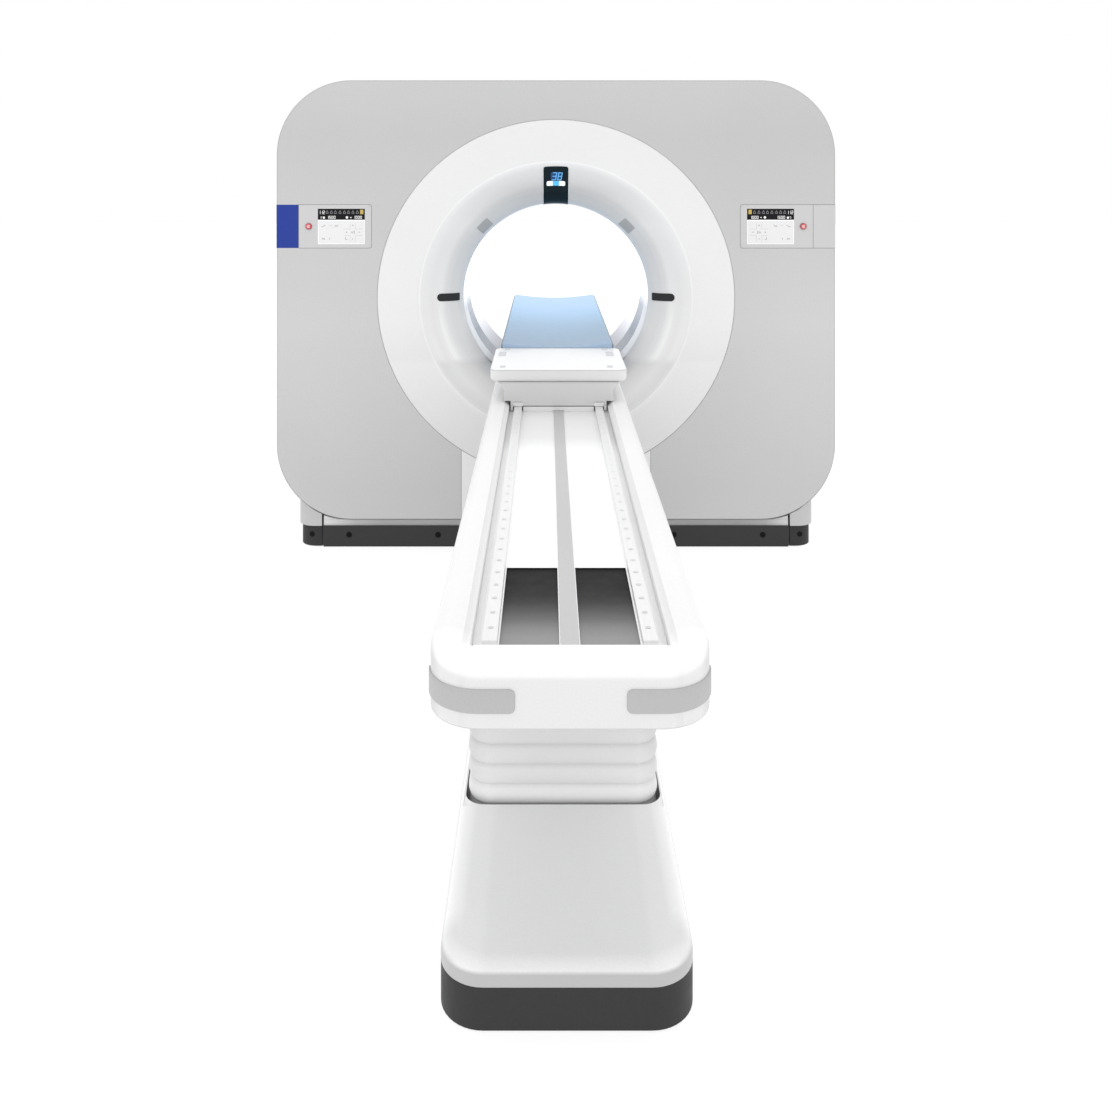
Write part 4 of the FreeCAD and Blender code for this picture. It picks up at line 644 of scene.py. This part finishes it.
def bell_patch(name, half, start, end, radii, turn, lift, look, rows, **more):
    """A window set on the bell, with rounded corners of two radii, from under its surface to a lift."""
    stations = []
    for radius, at, sign in ((radii[0], start, 1), (radii[1], end, -1)):
        bend = []
        for i in range(7):
            a = math.pi / 2 * i / 6
            bend.append((at + sign * radius * (1 - math.sin(a)), half - radius * (1 - math.cos(a))))
        stations.append(sorted(bend))
    first, last = stations
    gap = last[0][0] - first[-1][0]
    run = first + [(first[-1][0] + gap * i / rows, half) for i in range(1, rows)] + last
    points, faces = [], []
    for height in (lift, -0.002):
        for along, wide in run:
            for j in range(PATCH_COLUMNS + 1):
                points.append(on_bell(wide * (2 * j / PATCH_COLUMNS - 1), along, turn, height))
    wide, size = PATCH_COLUMNS + 1, len(run) * (PATCH_COLUMNS + 1)
    for i in range(len(run) - 1):
        for j in range(PATCH_COLUMNS):
            a = i * wide + j
            faces.append((a, a + wide, a + wide + 1, a + 1))
            faces.append((size + a, size + a + 1, size + a + wide + 1, size + a + wide))
        for a in (i * wide, i * wide + PATCH_COLUMNS):
            side = (a, size + a, size + a + wide, a + wide)
            faces.append(side if a == i * wide else side[::-1])
    for j in range(PATCH_COLUMNS):
        faces.append((j, j + 1, size + j + 1, size + j))
        a = (len(run) - 1) * wide + j
        faces.append((a, size + a, size + a + 1, a + 1))
    return piece(name, points, faces, look, "gantry", **more)


front = [(RING_R, -0.363), (RING_R, -0.3725), (0.7583, -0.3743), (0.7565, FRONT)]
front += [(0.5835, FRONT), (0.5815, -0.3754), (0.5790, -0.3754), (0.5765, -0.3745), (0.5735, -0.3736)]
for i in range(1, 9):
    front.append(bell_at(SLOPE * i / 9)[:2])
for i in range(25):
    front.append(bell_at(SLOPE + (BELL - SLOPE) * i / 24)[:2])
back = [(THROAT_R, -0.1115), (0.405, -0.1115), (0.405, -0.255), (0.595, -0.363)]
lathe("bell_ring", front + back, BELL_WHITE, smooth=25, stands_for=["front_funnel"], slot="ring_white")
lathe("ring_seam", [(0.7590, -0.3749), (0.7590, -0.3753), (0.7612, -0.3753), (0.7612, -0.3749)], RING_SEAM)
window = [(THROAT_R, -0.1108), (THROAT_R, 0.1108), (0.405, 0.1108), (0.405, -0.1108)]
lathe("scan_window_film", window, WINDOW, stands_for=["scan_window"])
rear = [(THROAT_R, 0.1115), (THROAT_R, 0.455), (0.480, 0.575), (0.485, 0.575), (0.405, 0.4568)]
rear.append((0.405, 0.1115))
lathe("rear_bell", rear, LINER, stands_for=["rear_funnel"])

display = dict(turn=0.0, rows=40)
bell_patch("display_frame", 0.0555, 0.0150, 0.2295, (0.011, 0.006), lift=0.0012, look=RIM, **display)
bell_patch("display_glass", 0.0530, 0.0180, 0.2290, (0.009, 0.005), lift=0.0022, look=GLASS,
           stands_for=["status_display"], slot="black_glass", **display)
bell_patch("display_halo", 0.0220, 0.0430, 0.0815, (0.008, 0.003), 0.0, 0.0025, GLOW_BLUE, rows=8)
bell_patch("display_bar", 0.0395, 0.0830, 0.1040, (0.006, 0.006), 0.0, 0.0027, PILL_WHITE, rows=8)
bell_patch("display_bar_middle", 0.0135, 0.0832, 0.1038, (0.001, 0.001), 0.0, 0.0029, PILL_BLUE, rows=8)


def on_display(a, b):
    """A point on the display, a to the right and b up from its lowest figure line."""
    return on_bell(a, 0.0775 - b, 0.0, 0.0030)


digits = figures("38", -0.0155, 0, 0.0145, 0.031, 0.0085, 0.005)
strokes("display_figures", digits, 0.0037, on_display, DIGIT)
for side, sign in (("left", -1), ("right", 1)):
    turn = sign * math.radians(45)
    bell_patch(f"{side}_laser_window", 0.0305, 0.1335, 0.1845, (0.004, 0.004), turn, 0.0012, SMOKED, rows=12)
    turn = sign * math.radians(90)
    bell_patch(f"{side}_side_window", 0.0165, 0.0745, 0.1800, (0.016, 0.006), turn, 0.0015, SLOT, rows=20)
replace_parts(bpy.data.objects["left_laser_window"], "laser_windows")
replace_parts(bpy.data.objects["left_side_window"], "side_sensors")

# ---- control panels


def on_plane(y):
    """A place() for marks on an upright plane at y."""
    return lambda x, z: (x, y, z)


def arc(x, z, radius, start, end):
    """Points of an arc between two angles in degrees."""
    turns = [math.radians(start + (end - start) * i / 6) for i in range(7)]
    return [(x + radius * math.cos(a), z + radius * math.sin(a)) for a in turns]


PERSON = [(0, 0.0055), (0.0035, 0.0005), (0.0045, -0.006), (-0.0045, -0.006), (-0.0035, 0.0005), (0, 0.0055)]
PEOPLE = (0.0393, 0.0571, 0.0744, 0.0939, 0.1129, 0.1299, 0.1489, 0.1675)
READINGS = (  # figures, middle, low, height, width and gap
    ("112", 0.0165, 0.1285, 0.0125, 0.0052, 0.0040),
    ("1500", 0.0565, 0.1085, 0.0105, 0.0058, 0.0038),
    ("1000", 0.1688, 0.1085, 0.0105, 0.0058, 0.0038),
)
TICK = [(0.0135, 0.109), (0.0135, 0.116), (0.018, 0.116)]
ICONS = [
    [(0.0165, 0.0735), (0.0240, 0.0755), (0.0313, 0.0810)],
    [(0.0720, 0.0740), (0.0760, 0.0790), (0.0800, 0.0745), (0.0855, 0.0815)],
    [(0.1455, 0.0785), (0.1480, 0.0815), (0.1505, 0.0785)],
    [(0.1235, 0.0530), (0.1195, 0.0503), (0.1235, 0.0476)],
    [(0.1410, 0.0475), (0.1450, 0.0525), (0.1490, 0.0460), (0.1500, 0.0540)],
    [(0.1550, 0.0440), (0.1550, 0.0560)],
    [(0.1720, 0.0510), (0.1780, 0.0510)],
    [(0.0170, 0.0200), (0.0210, 0.0255), (0.0250, 0.0200)],
    [(0.0285, 0.0195), (0.0285, 0.0255)],
    [(0.0490, 0.0200), (0.0490, 0.0255)],
    [(0.1170, 0.0280), (0.1165, 0.0215), (0.1205, 0.0180), (0.1240, 0.0210)],
    [(0.1480, 0.0200), (0.1480, 0.0240)],
]
TILES = [
    [(0.0445, 0.0800), (0.0605, 0.0800)],
    [(0.1100, 0.0640), (0.1370, 0.0640), (0.1370, 0.0890)],
    [(0.1590, 0.0890), (0.1590, 0.0640), (0.1880, 0.0640)],
    [(0.1100, 0.0370), (0.1370, 0.0370), (0.1370, 0.0120)],
    [(0.1590, 0.0120), (0.1590, 0.0370), (0.1880, 0.0370)],
]
SCREEN_WIDE, SCREEN_TALL, HEADER_LOW = 0.199, 0.150, 0.1035
SHEETS = (  # name, box on the screen, look and layer
    ("edge", (0.0, SCREEN_WIDE, 0.0, HEADER_LOW), SCREEN_RIM, 0),
    ("page", (0.003, 0.196, 0.003, 0.0985), SCREEN, 1),
    ("header", (0.0, SCREEN_WIDE, HEADER_LOW, SCREEN_TALL), HEADER, 1),
)
PANEL_SIDE, PANEL_LOW, PANEL_TOP = 1.0925, 1.2705, 1.4555  # panel seam: outer end, lower and upper edge
CORNER_X, CORNER_R = 0.791, 0.008  # centre and radius of its rounded corners
COVER_SIDE = 1.1845  # outer end of the right seam
STOP_X, STOP_Z, STOP_FACE = 1.050, 1.363, -0.3822
COLLAR = ((0.0185, -0.3748), (0.0182, -0.3762), (0.0172, -0.3768), (0.0150, -0.3768), (0.0140, -0.3756))
STOP_CAP = (
    (0.0110, -0.361), (0.0110, -0.3775), (0.0122, -0.3782), (0.0127, -0.3792), (0.0125, -0.3804),
    (0.0115, -0.3813), (0.0095, -0.3818), (0.0050, -0.3820), (0.0008, -0.3820),
)
on_front, on_stop = on_plane(FRONT - 0.0003), on_plane(STOP_FACE)
for side, sign in (("left", -1), ("right", 1)):
    outline = [(PANEL_SIDE, PANEL_TOP)] + arc(CORNER_X, PANEL_TOP - CORNER_R, CORNER_R, 90, 180)
    outline += arc(CORNER_X, PANEL_LOW + CORNER_R, CORNER_R, 180, 270) + [(PANEL_SIDE, PANEL_LOW)]
    lines = [outline, [(PANEL_SIDE, PANEL_LOW), (PANEL_SIDE, PANEL_TOP)]]
    lines += [[(PANEL_SIDE, z), (COVER_SIDE, z)] for z in (PANEL_LOW, PANEL_TOP)] if sign > 0 else []
    lines = [[(sign * x, z) for x, z in line] for line in lines]
    strokes(f"{side}_panel_seam", lines, 0.0022, on_front, SEAM)
    left = -1.011 if sign < 0 else 0.812

    def on_screen(a, b, step=2):
        """A point of this touchscreen, a and b from its lower left corner, on one of its layers."""
        return (left + a, FRONT - 0.0004 - 0.0001 * step, 1.2875 + b)

    def flip(a):
        """a on the left touchscreen, and its mirror image on the right one."""
        return a if sign < 0 else SCREEN_WIDE - a

    def flipped(lines):
        """Lines with each a flipped."""
        return [[(flip(a), b) for a, b in line] for line in lines]

    for kind, (a0, a1, b0, b1), look, step in SHEETS:
        front_ring = [on_screen(a, b, step) for a, b in ((a0, b0), (a1, b0), (a1, b1), (a0, b1))]
        rear_ring = [(x, FRONT, z) for x, y, z in front_ring]
        piece(f"{side}_screen_{kind}", *skin([rear_ring, front_ring], caps=True), look, "gantry")
    white = []
    for text, middle, low, height, width, gap in READINGS:
        whole = len(text) * width + (len(text) - 1) * gap
        white += figures(text, flip(middle) - whole / 2, low, width, height, gap)
    white += flipped([TICK])
    strokes(f"{side}_screen_figures", white, 0.0017, on_screen, MARK_WHITE)
    spots = [(0.1235, 0.1135, 0.0052), (0.140, 0.113, 0.0026), (0.0255, 0.1125, 0.0048)]
    spots = [(flip(a), b, radius) for a, b, radius in spots]
    dots(f"{side}_screen_dots", spots, on_screen, MARK_WHITE, "gantry")
    people = [[(flip(a) + x, 0.1365 + z) for x, z in PERSON] for a in PEOPLE]
    strokes(f"{side}_screen_people", people, 0.0026, on_screen, MARK_GREY)
    badge = flipped([[(0.1863, 0.1345), (0.1863, 0.1395)]])
    strokes(f"{side}_screen_badge", badge, 0.0140, on_screen, AMBER)
    strokes(f"{side}_screen_icons", flipped(ICONS), 0.0024, on_screen, MARK_MID)
    strokes(f"{side}_screen_tiles", flipped(TILES), 0.0014, on_screen, MARK_PALE)

    centre = sign * STOP_X
    piece(f"{side}_stop_collar", *skin(discs(centre, STOP_Z, COLLAR, 48)), PANEL, "gantry", smooth=60)
    piece(f"{side}_stop_cap", *skin(discs(centre, STOP_Z, STOP_CAP, 48), caps=True), RED, f"{side}_stop",
          smooth=60, stands_for=[f"{side}_stop_button"], slot="button_red")
    dots(f"{side}_stop_centre", [(centre, STOP_Z, 0.0046)], on_stop, RED_PALE, f"{side}_stop")
    arrows = [arc(centre, STOP_Z, 0.0062, start, start + 80) for start in (20, 140, 260)]
    strokes(f"{side}_stop_arrows", arrows, 0.0020, on_stop, RED_PALE, f"{side}_stop")

# ---- gantry base

APRON_HALF = 0.402
SCREW_X, SCREW_Z = (-0.879, -0.501, 0.501, 0.879), 0.052
HEAD = ((0.0090, -0.3720), (0.0090, -0.3737), (0.0084, -0.3745), (0.0045, -0.3745), (0.0040, -0.3730))
low = BORE_Z - math.sqrt(RING_R**2 - APRON_HALF**2)
lines = [[(sign * APRON_HALF, 0.118), (sign * APRON_HALF, low)] for sign in (-1, 1)]
strokes("apron_seam", lines, 0.0020, on_front, SEAM)
heads = [discs(x, SCREW_Z, HEAD, 24) for x in SCREW_X]
piece("kick_plate_screw_heads", *solids(heads), DARKER, "gantry", stands_for=["kick_plate_screws"])
recesses = [(x, SCREW_Z, 0.0125) for x in SCREW_X]
dots("kick_plate_recesses", recesses, on_plane(-0.3722), DARKER, "gantry", sides=24)
ends = [(-1.038, SCREW_Z, 0.011), (1.038, SCREW_Z, 0.011)]
dots("corner_skirt_screws", ends, on_plane(-0.3632), DARKER, "gantry", sides=24)
corners = []
for side in (-1, 1):
    outline = [(0.9877, 0.1163), (0.9130, 0.1163)]
    for i in range(9):
        x = 0.9130 + 0.0747 * i / 8
        outline.append((x, 0.4155 - math.sqrt(0.09 - (x - 0.887) ** 2)))
    depths = (-0.3655, -0.3530)[::side]
    corners.append([[(side * x, y, z) for x, z in outline] for y in depths])
piece("strip_corners", *solids(corners), STRIP, "gantry")

# ---- couch


COUCH_HALF, COUCH_NEAR, COUCH_CORNER = 0.231, -3.200, 0.085
DECK, BOTTOM = 0.835, 0.703  # heights of the deck and of the moulding's lower edge


def near_share(ny):
    """Share of facing the free end."""
    return max(0.0, -ny)


def lower_round(nx):
    """Rounding of the moulding's lower edge."""
    return 0.004 + 0.002 * abs(nx)


def hollow(nx, ny):
    """How far the space under the trough reaches out past the trough."""
    return 0.033 * abs(nx) * (1 - near_share(ny)) + 0.013 * max(0.0, ny)


def under_reach(nx, ny):
    """The same below the trough floor, where the free end is solid."""
    return hollow(nx, ny) - 0.049 * near_share(ny)


def deck_rise(share):
    """How far below the deck the outer edge starts to round, for a share of facing the free end."""
    return 0.033 + 0.022 * share


def couch_top_at(x, y):
    """Height of the couch's top at a point: broadly rounded at the free end, less at the sides."""
    across, along = abs(x) - (COUCH_HALF - COUCH_CORNER), COUCH_NEAR + COUCH_CORNER - y
    if across > 0 and along > 0:
        reach = math.hypot(across, along)
        depth, share = COUCH_CORNER - reach, along / reach
    elif along > 0:
        depth, share = COUCH_CORNER - along, 1.0
    else:
        depth, share = COUCH_CORNER - across, 0.0
    left = 1 - min(1.0, max(0.0, depth) / (0.025 + 0.060 * share**1.5))
    return DECK - deck_rise(share) * (1 - math.sqrt(1 - left * left))


side_wall = plan(COUCH_HALF, COUCH_NEAR, -0.450, COUCH_CORNER, 0.006)
trough = plan(0.162, -3.165, -0.470, 0.006, 0.006)
loops = []
for i in range(9):
    a = math.radians(86 * (8 - i) / 8)
    loops.append(level(
        side_wall,
        lambda nx, ny: -lower_round(nx) * (1 - math.cos(a)),
        lambda nx, ny: BOTTOM + lower_round(nx) * (1 - math.sin(a)),
    ))
lip = level(trough, lambda nx, ny: 0.0035 + 0.0125 * abs(nx), 0.0)
for i in range(21):
    share = 1 - math.cos(math.radians(4.5 * i))
    loop = []
    for (x0, y0, _, ny), (x1, y1, _) in zip(side_wall, lip):
        x, y = x0 + (x1 - x0) * share, y0 + (y1 - y0) * share
        loop.append((x, y, couch_top_at(x, y) if i else DECK - deck_rise(near_share(ny))))
    loops.append(loop)
for out, drop in ((0.0012, 0.0005), (0.0, 0.0020)):
    edge = level(trough, lambda nx, ny: out + 0.0125 * abs(nx), 0.0)
    loops.append([(x, y, couch_top_at(x, y) - drop) for x, y, _ in edge])
for out, z in ((0.0006, 0.8215), (0.0, 0.8200), (0.0, 0.8036)):
    loops.append(level(trough, out, z))
loops.append(level(trough, hollow, lambda nx, ny: 0.8036 - 0.009 * near_share(ny)))
loops += [level(trough, under_reach, 0.7946), level(trough, under_reach, BOTTOM)]
piece("couch_moulding", *skin(loops, closed=True), COUCH, "couch_top", stands_for=["couch_body"],
      slot="couch_white")


def along_wall(run):
    """A point and outward normal of the couch's outline, a distance round from the middle of the free end."""
    flat, turn = COUCH_HALF - COUCH_CORNER, COUCH_CORNER * math.pi / 2
    side, run = (1 if run > 0 else -1), abs(run)
    if run <= flat:
        return side * run, COUCH_NEAR, 0.0, -1.0
    if run <= flat + turn:
        a = (run - flat) / COUCH_CORNER
        sin, cos = math.sin(a), math.cos(a)
        return side * (flat + COUCH_CORNER * sin), COUCH_NEAR + COUCH_CORNER * (1 - cos), side * sin, -cos
    return side * COUCH_HALF, COUCH_NEAR + COUCH_CORNER + run - flat - turn, side * 1.0, 0.0


strips = []
for side in (-1, 1):
    start, end, corner = 0.0885, COUCH_HALF - COUCH_CORNER + COUCH_CORNER * math.pi / 2 + 0.005, 0.0095
    stations = [corner * (1 - math.cos(math.pi / 2 * i / 8)) for i in range(9)]
    stations += [corner + (end - start - 2 * corner) * i / 40 for i in range(1, 40)]
    stations += [end - start - s for s in stations[8::-1]]
    loops = []
    for s in stations:
        d = min(s, end - start - s, corner)
        tall = 0.019 - corner + math.sqrt(max(0.0, corner**2 - (corner - d) ** 2))
        thick = 0.0005 + 0.0025 * min(1.0, d / 0.002) ** 0.5
        x, y, nx, ny = along_wall(side * (start + s))
        loop = []
        for z, out in ((-tall, -0.001), (-tall, thick - 0.0008), (0.0012 - tall, thick), (0.0, thick),
                       (tall - 0.0012, thick), (tall, thick - 0.0008), (tall, -0.001)):
            loop.append((x + nx * out, y + ny * out, 0.749 + z))
        loops.append(loop)
    strips.append(loops[::side])
piece("bumper_strips", *solids(strips), BUMPER, "couch_top", stands_for=["couch_bumpers"], slot="bumper_grey")

# Hatch wells: shallow plates under the trough floor, coloured with painted shade.
points, faces = [], []
for side in (-1, 1):
    middle, half = side * 0.0675, 0.0500
    loops = []
    for i in range(49):
        y = -3.1415 + 0.365 * i / 48
        z = 0.8022 - 0.003 * i / 48 - (0.0003 if i % 2 else 0.0)
        left, right = middle - half, middle + half
        loops.append([(left, y, 0.8029), (left, y, z), (right, y, z), (right, y, 0.8029)])
    start = len(points)
    points += [p for loop in loops for p in loop]
    for i in range(len(loops) - 1):
        for j in range(3):
            a = start + i * 4 + j
            faces.append((a, a + 4, a + 5, a + 1))
    faces.append((start, start + 1, start + 2, start + 3))
    a = start + 4 * (len(loops) - 1)
    faces.append((a + 3, a + 2, a + 1, a))
piece("hatch_wells", points, faces, HATCH, "couch_top", smooth=20)

holes = [(side * 0.1325, -3.0896 + 0.0625 * i, 0.0048) for side in (-1, 1) for i in range(27)]
dots("rail_screws", holes, lambda x, y: (x, y, 0.8191), RAIL_HOLE, "couch_top", slot="rail_steel")

# ---- carriage

slab = plan(0.2255, -1.393, -0.960, 0.030, 0.030)
loops = []
for i in range(9):
    a = math.radians(90 * (8 - i) / 8)
    loops.append(level(slab, -0.014 * (1 - math.cos(a)), 0.900 + 0.014 * (1 - math.sin(a))))
for out, z in ((0.0, 0.9366), (-0.0025, 0.9370), (-0.0025, 0.9392), (-0.0002, 0.9396), (-0.0010, 0.9410),
               (-0.0022, 0.9417), (-0.0040, 0.9420)):
    loops.append(level(slab, out, z))
half_section = [(0.1165, 0.8215), (0.1165, 0.8340), (0.1495, 0.8340), (0.1495, 0.8215), (0.158, 0.8215)]
half_section += [(0.158, 0.8375), (0.181, 0.8375), (0.181, 0.874), (0.199, 0.8996)]
section = half_section + [(-x, z) for x, z in reversed(half_section)]
foot_loops = [[(x, y, z) for x, z in section] for y in (-1.387, -0.962)]
piece("carriage_moulding", *solids([loops, foot_loops]), CARRIAGE, "table", stands_for=["carriage_block"])
lips = [(-0.0175, 0.0175, -1.3865, -1.3715, 0.8065, 0.8180)]
STEPS = ((0.0175, 0.1164, 0.8032, 0.8180), (0.1166, 0.1494, 0.8195, 0.8325), (0.1497, 0.1578, 0.8055, 0.8210))
for side in (-1, 1):
    for a, b, low, high in STEPS:
        lips.append((*sorted((side * a, side * b)), -1.3865, -1.3715, low, high))
slabs("carriage_shelf", [(-0.150, 0.150, -0.962, -0.820, 0.880, 0.9070)], CARRIAGE, "table")
# Painted shade: a dark strip recessed under the foot, standing in for the shadowed gap above the trough floor.
slabs("carriage_gap_shade_strip", [(-0.1164, 0.1164, -1.383, -1.372, 0.8180, 0.8220)], CARRIAGE_GAP_SHADE, "table")
slabs("carriage_lip", lips, WHITE, "table")
marks = [
    (-0.2096, -0.1840, -1.137, -1.044), (0.1721, 0.1996, -1.137, -1.044), (-0.1926, -0.1731, -1.009, -0.964),
    (0.1624, 0.1826, -1.009, -0.964), (-0.1946, -0.1766, -1.360, -1.323), (0.1622, 0.1809, -1.360, -1.323),
]
slabs("carriage_marks", [(*mark, 0.9415, 0.9424) for mark in marks], CAP, "table")

# ---- mat

DISH_R = 1.1673  # radius of the table top's dish


def mat_ease(distance):
    """Share of the full thickness, a distance in from the mat's edge."""
    share = min(1.0, max(0.0, distance) / 0.009)
    return math.sqrt(max(0.0, 1 - (1 - share) ** 2))


NEAR, FAR, HALF, CORNER = -0.9618, 0.6195, 0.2032, 0.016  # ends, half width and corner radius
SLAB_TOP = 0.9424  # top of the carriage
edge_steps = [0.0, 0.0007, 0.0020, 0.0038, 0.0062, 0.0090, 0.0125]
flap = [(NEAR, 0.0), (NEAR, 0.4), (NEAR, 0.75), (-0.9612, 0.92), (-0.9600, 0.985), (-0.9580, 1.0)]
rows = flap + [(-0.9580 + (FAR - 0.0125 + 0.9580) * i / 90, 1.0) for i in range(1, 91)]
rows += [(FAR - s, 1.0) for s in reversed(edge_steps[:-1])]
xs = [-1 + s / HALF for s in edge_steps]
xs += [-1 + 0.0125 / HALF + (2 - 0.025 / HALF) * i / 40 for i in range(1, 40)]
xs += [1 - s / HALF for s in reversed(edge_steps)]
ys = [y for y, _ in rows]
points, faces = [], []
for top in (1, 0):
    for y, drop in rows:
        d = min(FAR - y, CORNER)
        half = HALF - CORNER + math.sqrt(max(0.0, CORNER**2 - (CORNER - d) ** 2))
        for u in xs:
            x = u * half
            bed = 0.9378 + DISH_R - math.sqrt(DISH_R**2 - x * x)
            swell = mat_ease(min(half - abs(x), FAR - y))
            full = bed + 0.0004 + 0.0076 * swell
            low = SLAB_TOP if y < -0.9585 else bed
            points.append((x, y, SLAB_TOP + 0.0002 + (full - SLAB_TOP) * drop if top else low))
wide, size = len(xs), len(xs) * len(ys)
for i in range(len(ys) - 1):
    for j in range(wide - 1):
        a = i * wide + j
        faces.append((a, a + 1, a + wide + 1, a + wide))
        faces.append((size + a, size + a + wide, size + a + wide + 1, size + a + 1))
    for a, last in ((i * wide, False), (i * wide + wide - 1, True)):
        side = (a, a + wide, size + a + wide, size + a)
        faces.append(side[::-1] if last else side)
for j in range(wide - 1):
    faces.append((j, size + j, size + j + 1, j + 1))
    a = (len(ys) - 1) * wide + j
    faces.append((a, a + 1, size + a + 1, size + a))
mat = piece("table_pad", points, faces, MAT, "table", smooth=60, stands_for=["table_mat"], slot="mat_blue")

# ---- couch base and bellows

foot = plan(0.242, -2.920, -0.375, 0.086, 0.004)
loops = []
for turn in (90, 45, 0):
    a = math.radians(turn)
    loops.append(level(foot, -0.005 - 0.023 * (1 - math.cos(a)), 0.124 - 0.023 * (1 - math.sin(a))))
loops += [level(foot, -0.005, 0.0815), level(foot, 0.0, 0.0815)]
for i in range(9):
    a = math.radians(90 * i / 8)
    loops.append(level(foot, -0.028 * (1 - math.cos(a)), 0.129 - 0.028 * (1 - math.sin(a))))
base = piece("base_moulding", *skin(loops, caps=True), BASE, None)
well = plan(0.2312, -2.434, -1.4435, 0.010, 0.010)
walls = skin([level(well, 0, 0.05), level(well, 0, 0.2)], caps=True)
cutter = piece("base_cutter", *walls, BASE, None)
cut = base.modifiers.new("well", "BOOLEAN")
cut.object, cut.operation, cut.solver = cutter, "DIFFERENCE", "EXACT"
carved = bpy.data.meshes.new_from_object(base.evaluated_get(bpy.context.evaluated_depsgraph_get()))
base.modifiers.clear()
base.data = carved
carved.shade_smooth()
carved.set_sharp_from_angle(angle=math.radians(30))
bpy.data.objects.remove(cutter)
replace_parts(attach(base, "gantry"), "couch_base_cover")

folds = plan(0.2235, -2.410, -1.450, 0.056, 0.056, 10)
loops = [level(folds, -0.005, 0.0255)]
steps = [0.0, 0.03, 0.09, 0.18, 0.30, 0.42, 0.5, 0.58, 0.70, 0.82, 0.91, 0.97]
for fold in range(15):
    for share in steps:
        height = FOLD_START + PITCH * (fold + share)
        if 0.0258 < height < BOTTOM - 0.001:
            bulge = math.sin(math.pi * share) ** 0.8
            loops.append(level(folds, -0.008 * (1 - bulge), height))
loops.append(level(folds, -0.005, BOTTOM - 0.0003))
bellows = piece("bellows_folds", *skin(loops, caps=True), SKIN, None, smooth=50)
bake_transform(bellows)
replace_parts(bellows, "bellows")
inside = plan(0.2215, -2.408, -1.452, 0.040, 0.040)
outside = plan(0.2310, -2.4338, -1.4437, 0.010, 0.010)
# Painted shade: a dark sheet across the gap round the bellows.
piece("bellows_gap", *skin([level(inside, 0.0, 0.1075), level(outside, 0.0, 0.1075)]), GAP, "gantry")
outside, inside = plan(0.2309, -2.4337, -1.4438, 0.010, 0.010), plan(0.2288, -2.4200, -1.4465, 0.045, 0.045)
loops = [level(outside, 0.0, z) for z in (0.1080, 0.1228)] + [level(inside, 0.0, z) for z in (0.1228, 0.1080)]
piece("bellows_collar", *skin(loops, closed=True), BASE, "gantry")

# ---- studio

for collection in (bpy.data.lights, bpy.data.cameras):
    for old in list(collection):
        collection.remove(old)
scene = bpy.context.scene
scene.view_settings.view_transform = "Standard"
world = bpy.data.worlds.new("studio")
world.use_nodes = True
world.node_tree.nodes["Background"].inputs["Color"].default_value = (1, 1, 1, 1)
world.node_tree.nodes["Background"].inputs["Strength"].default_value = 1.0
scene.world = world

FLOOR_HALF, FLOOR_Z = 30.0, -0.0006
ground = bpy.data.meshes.new("floor")
square = [(x * FLOOR_HALF, y * FLOOR_HALF, FLOOR_Z) for x, y in ((-1, -1), (1, -1), (1, 1), (-1, 1))]
ground.from_pydata(square, [], [(0, 1, 2, 3)])
ground.materials.append(
    finish("floor_white", 155.4769, 0.8, grain=(30, 0.004), drift=0.004, glow=2.65, spec=0.1)
)
floor = bpy.data.objects.new("floor", ground)
scene.collection.objects.link(floor)


def lamp(name, place, target, size, power):
    """A soft square light aimed at a point."""
    data = bpy.data.lights.new(name, "AREA")
    data.shape, data.size, data.energy = "SQUARE", size, power
    made = bpy.data.objects.new(name, data)
    made.location = place
    aim = [t - p for t, p in zip(target, place)]
    flat = math.hypot(aim[0], aim[1])
    made.rotation_euler = (math.atan2(flat, -aim[2]), 0, math.atan2(aim[1], aim[0]) - math.pi / 2)
    scene.collection.objects.link(made)


lamp("overhead", (0.0, -1.8, 5.0), (0.0, -1.6, 0.0), 6.0, 40)
lamp("front_left", (-3.5, -6.5, 3.0), (0.0, -0.5, 1.0), 3.0, 6)

lens = bpy.data.cameras.new("photo")
lens.lens, lens.sensor_width, lens.clip_end = 34.3, 36, 200
lens.shift_x, lens.shift_y = 0.0081, -0.3426
camera = bpy.data.objects.new("photo", lens)
camera.location = (-0.038, -4.875, 1.581)
camera.rotation_euler = (math.radians(90), 0, 0)
scene.collection.objects.link(camera)
scene.camera = camera
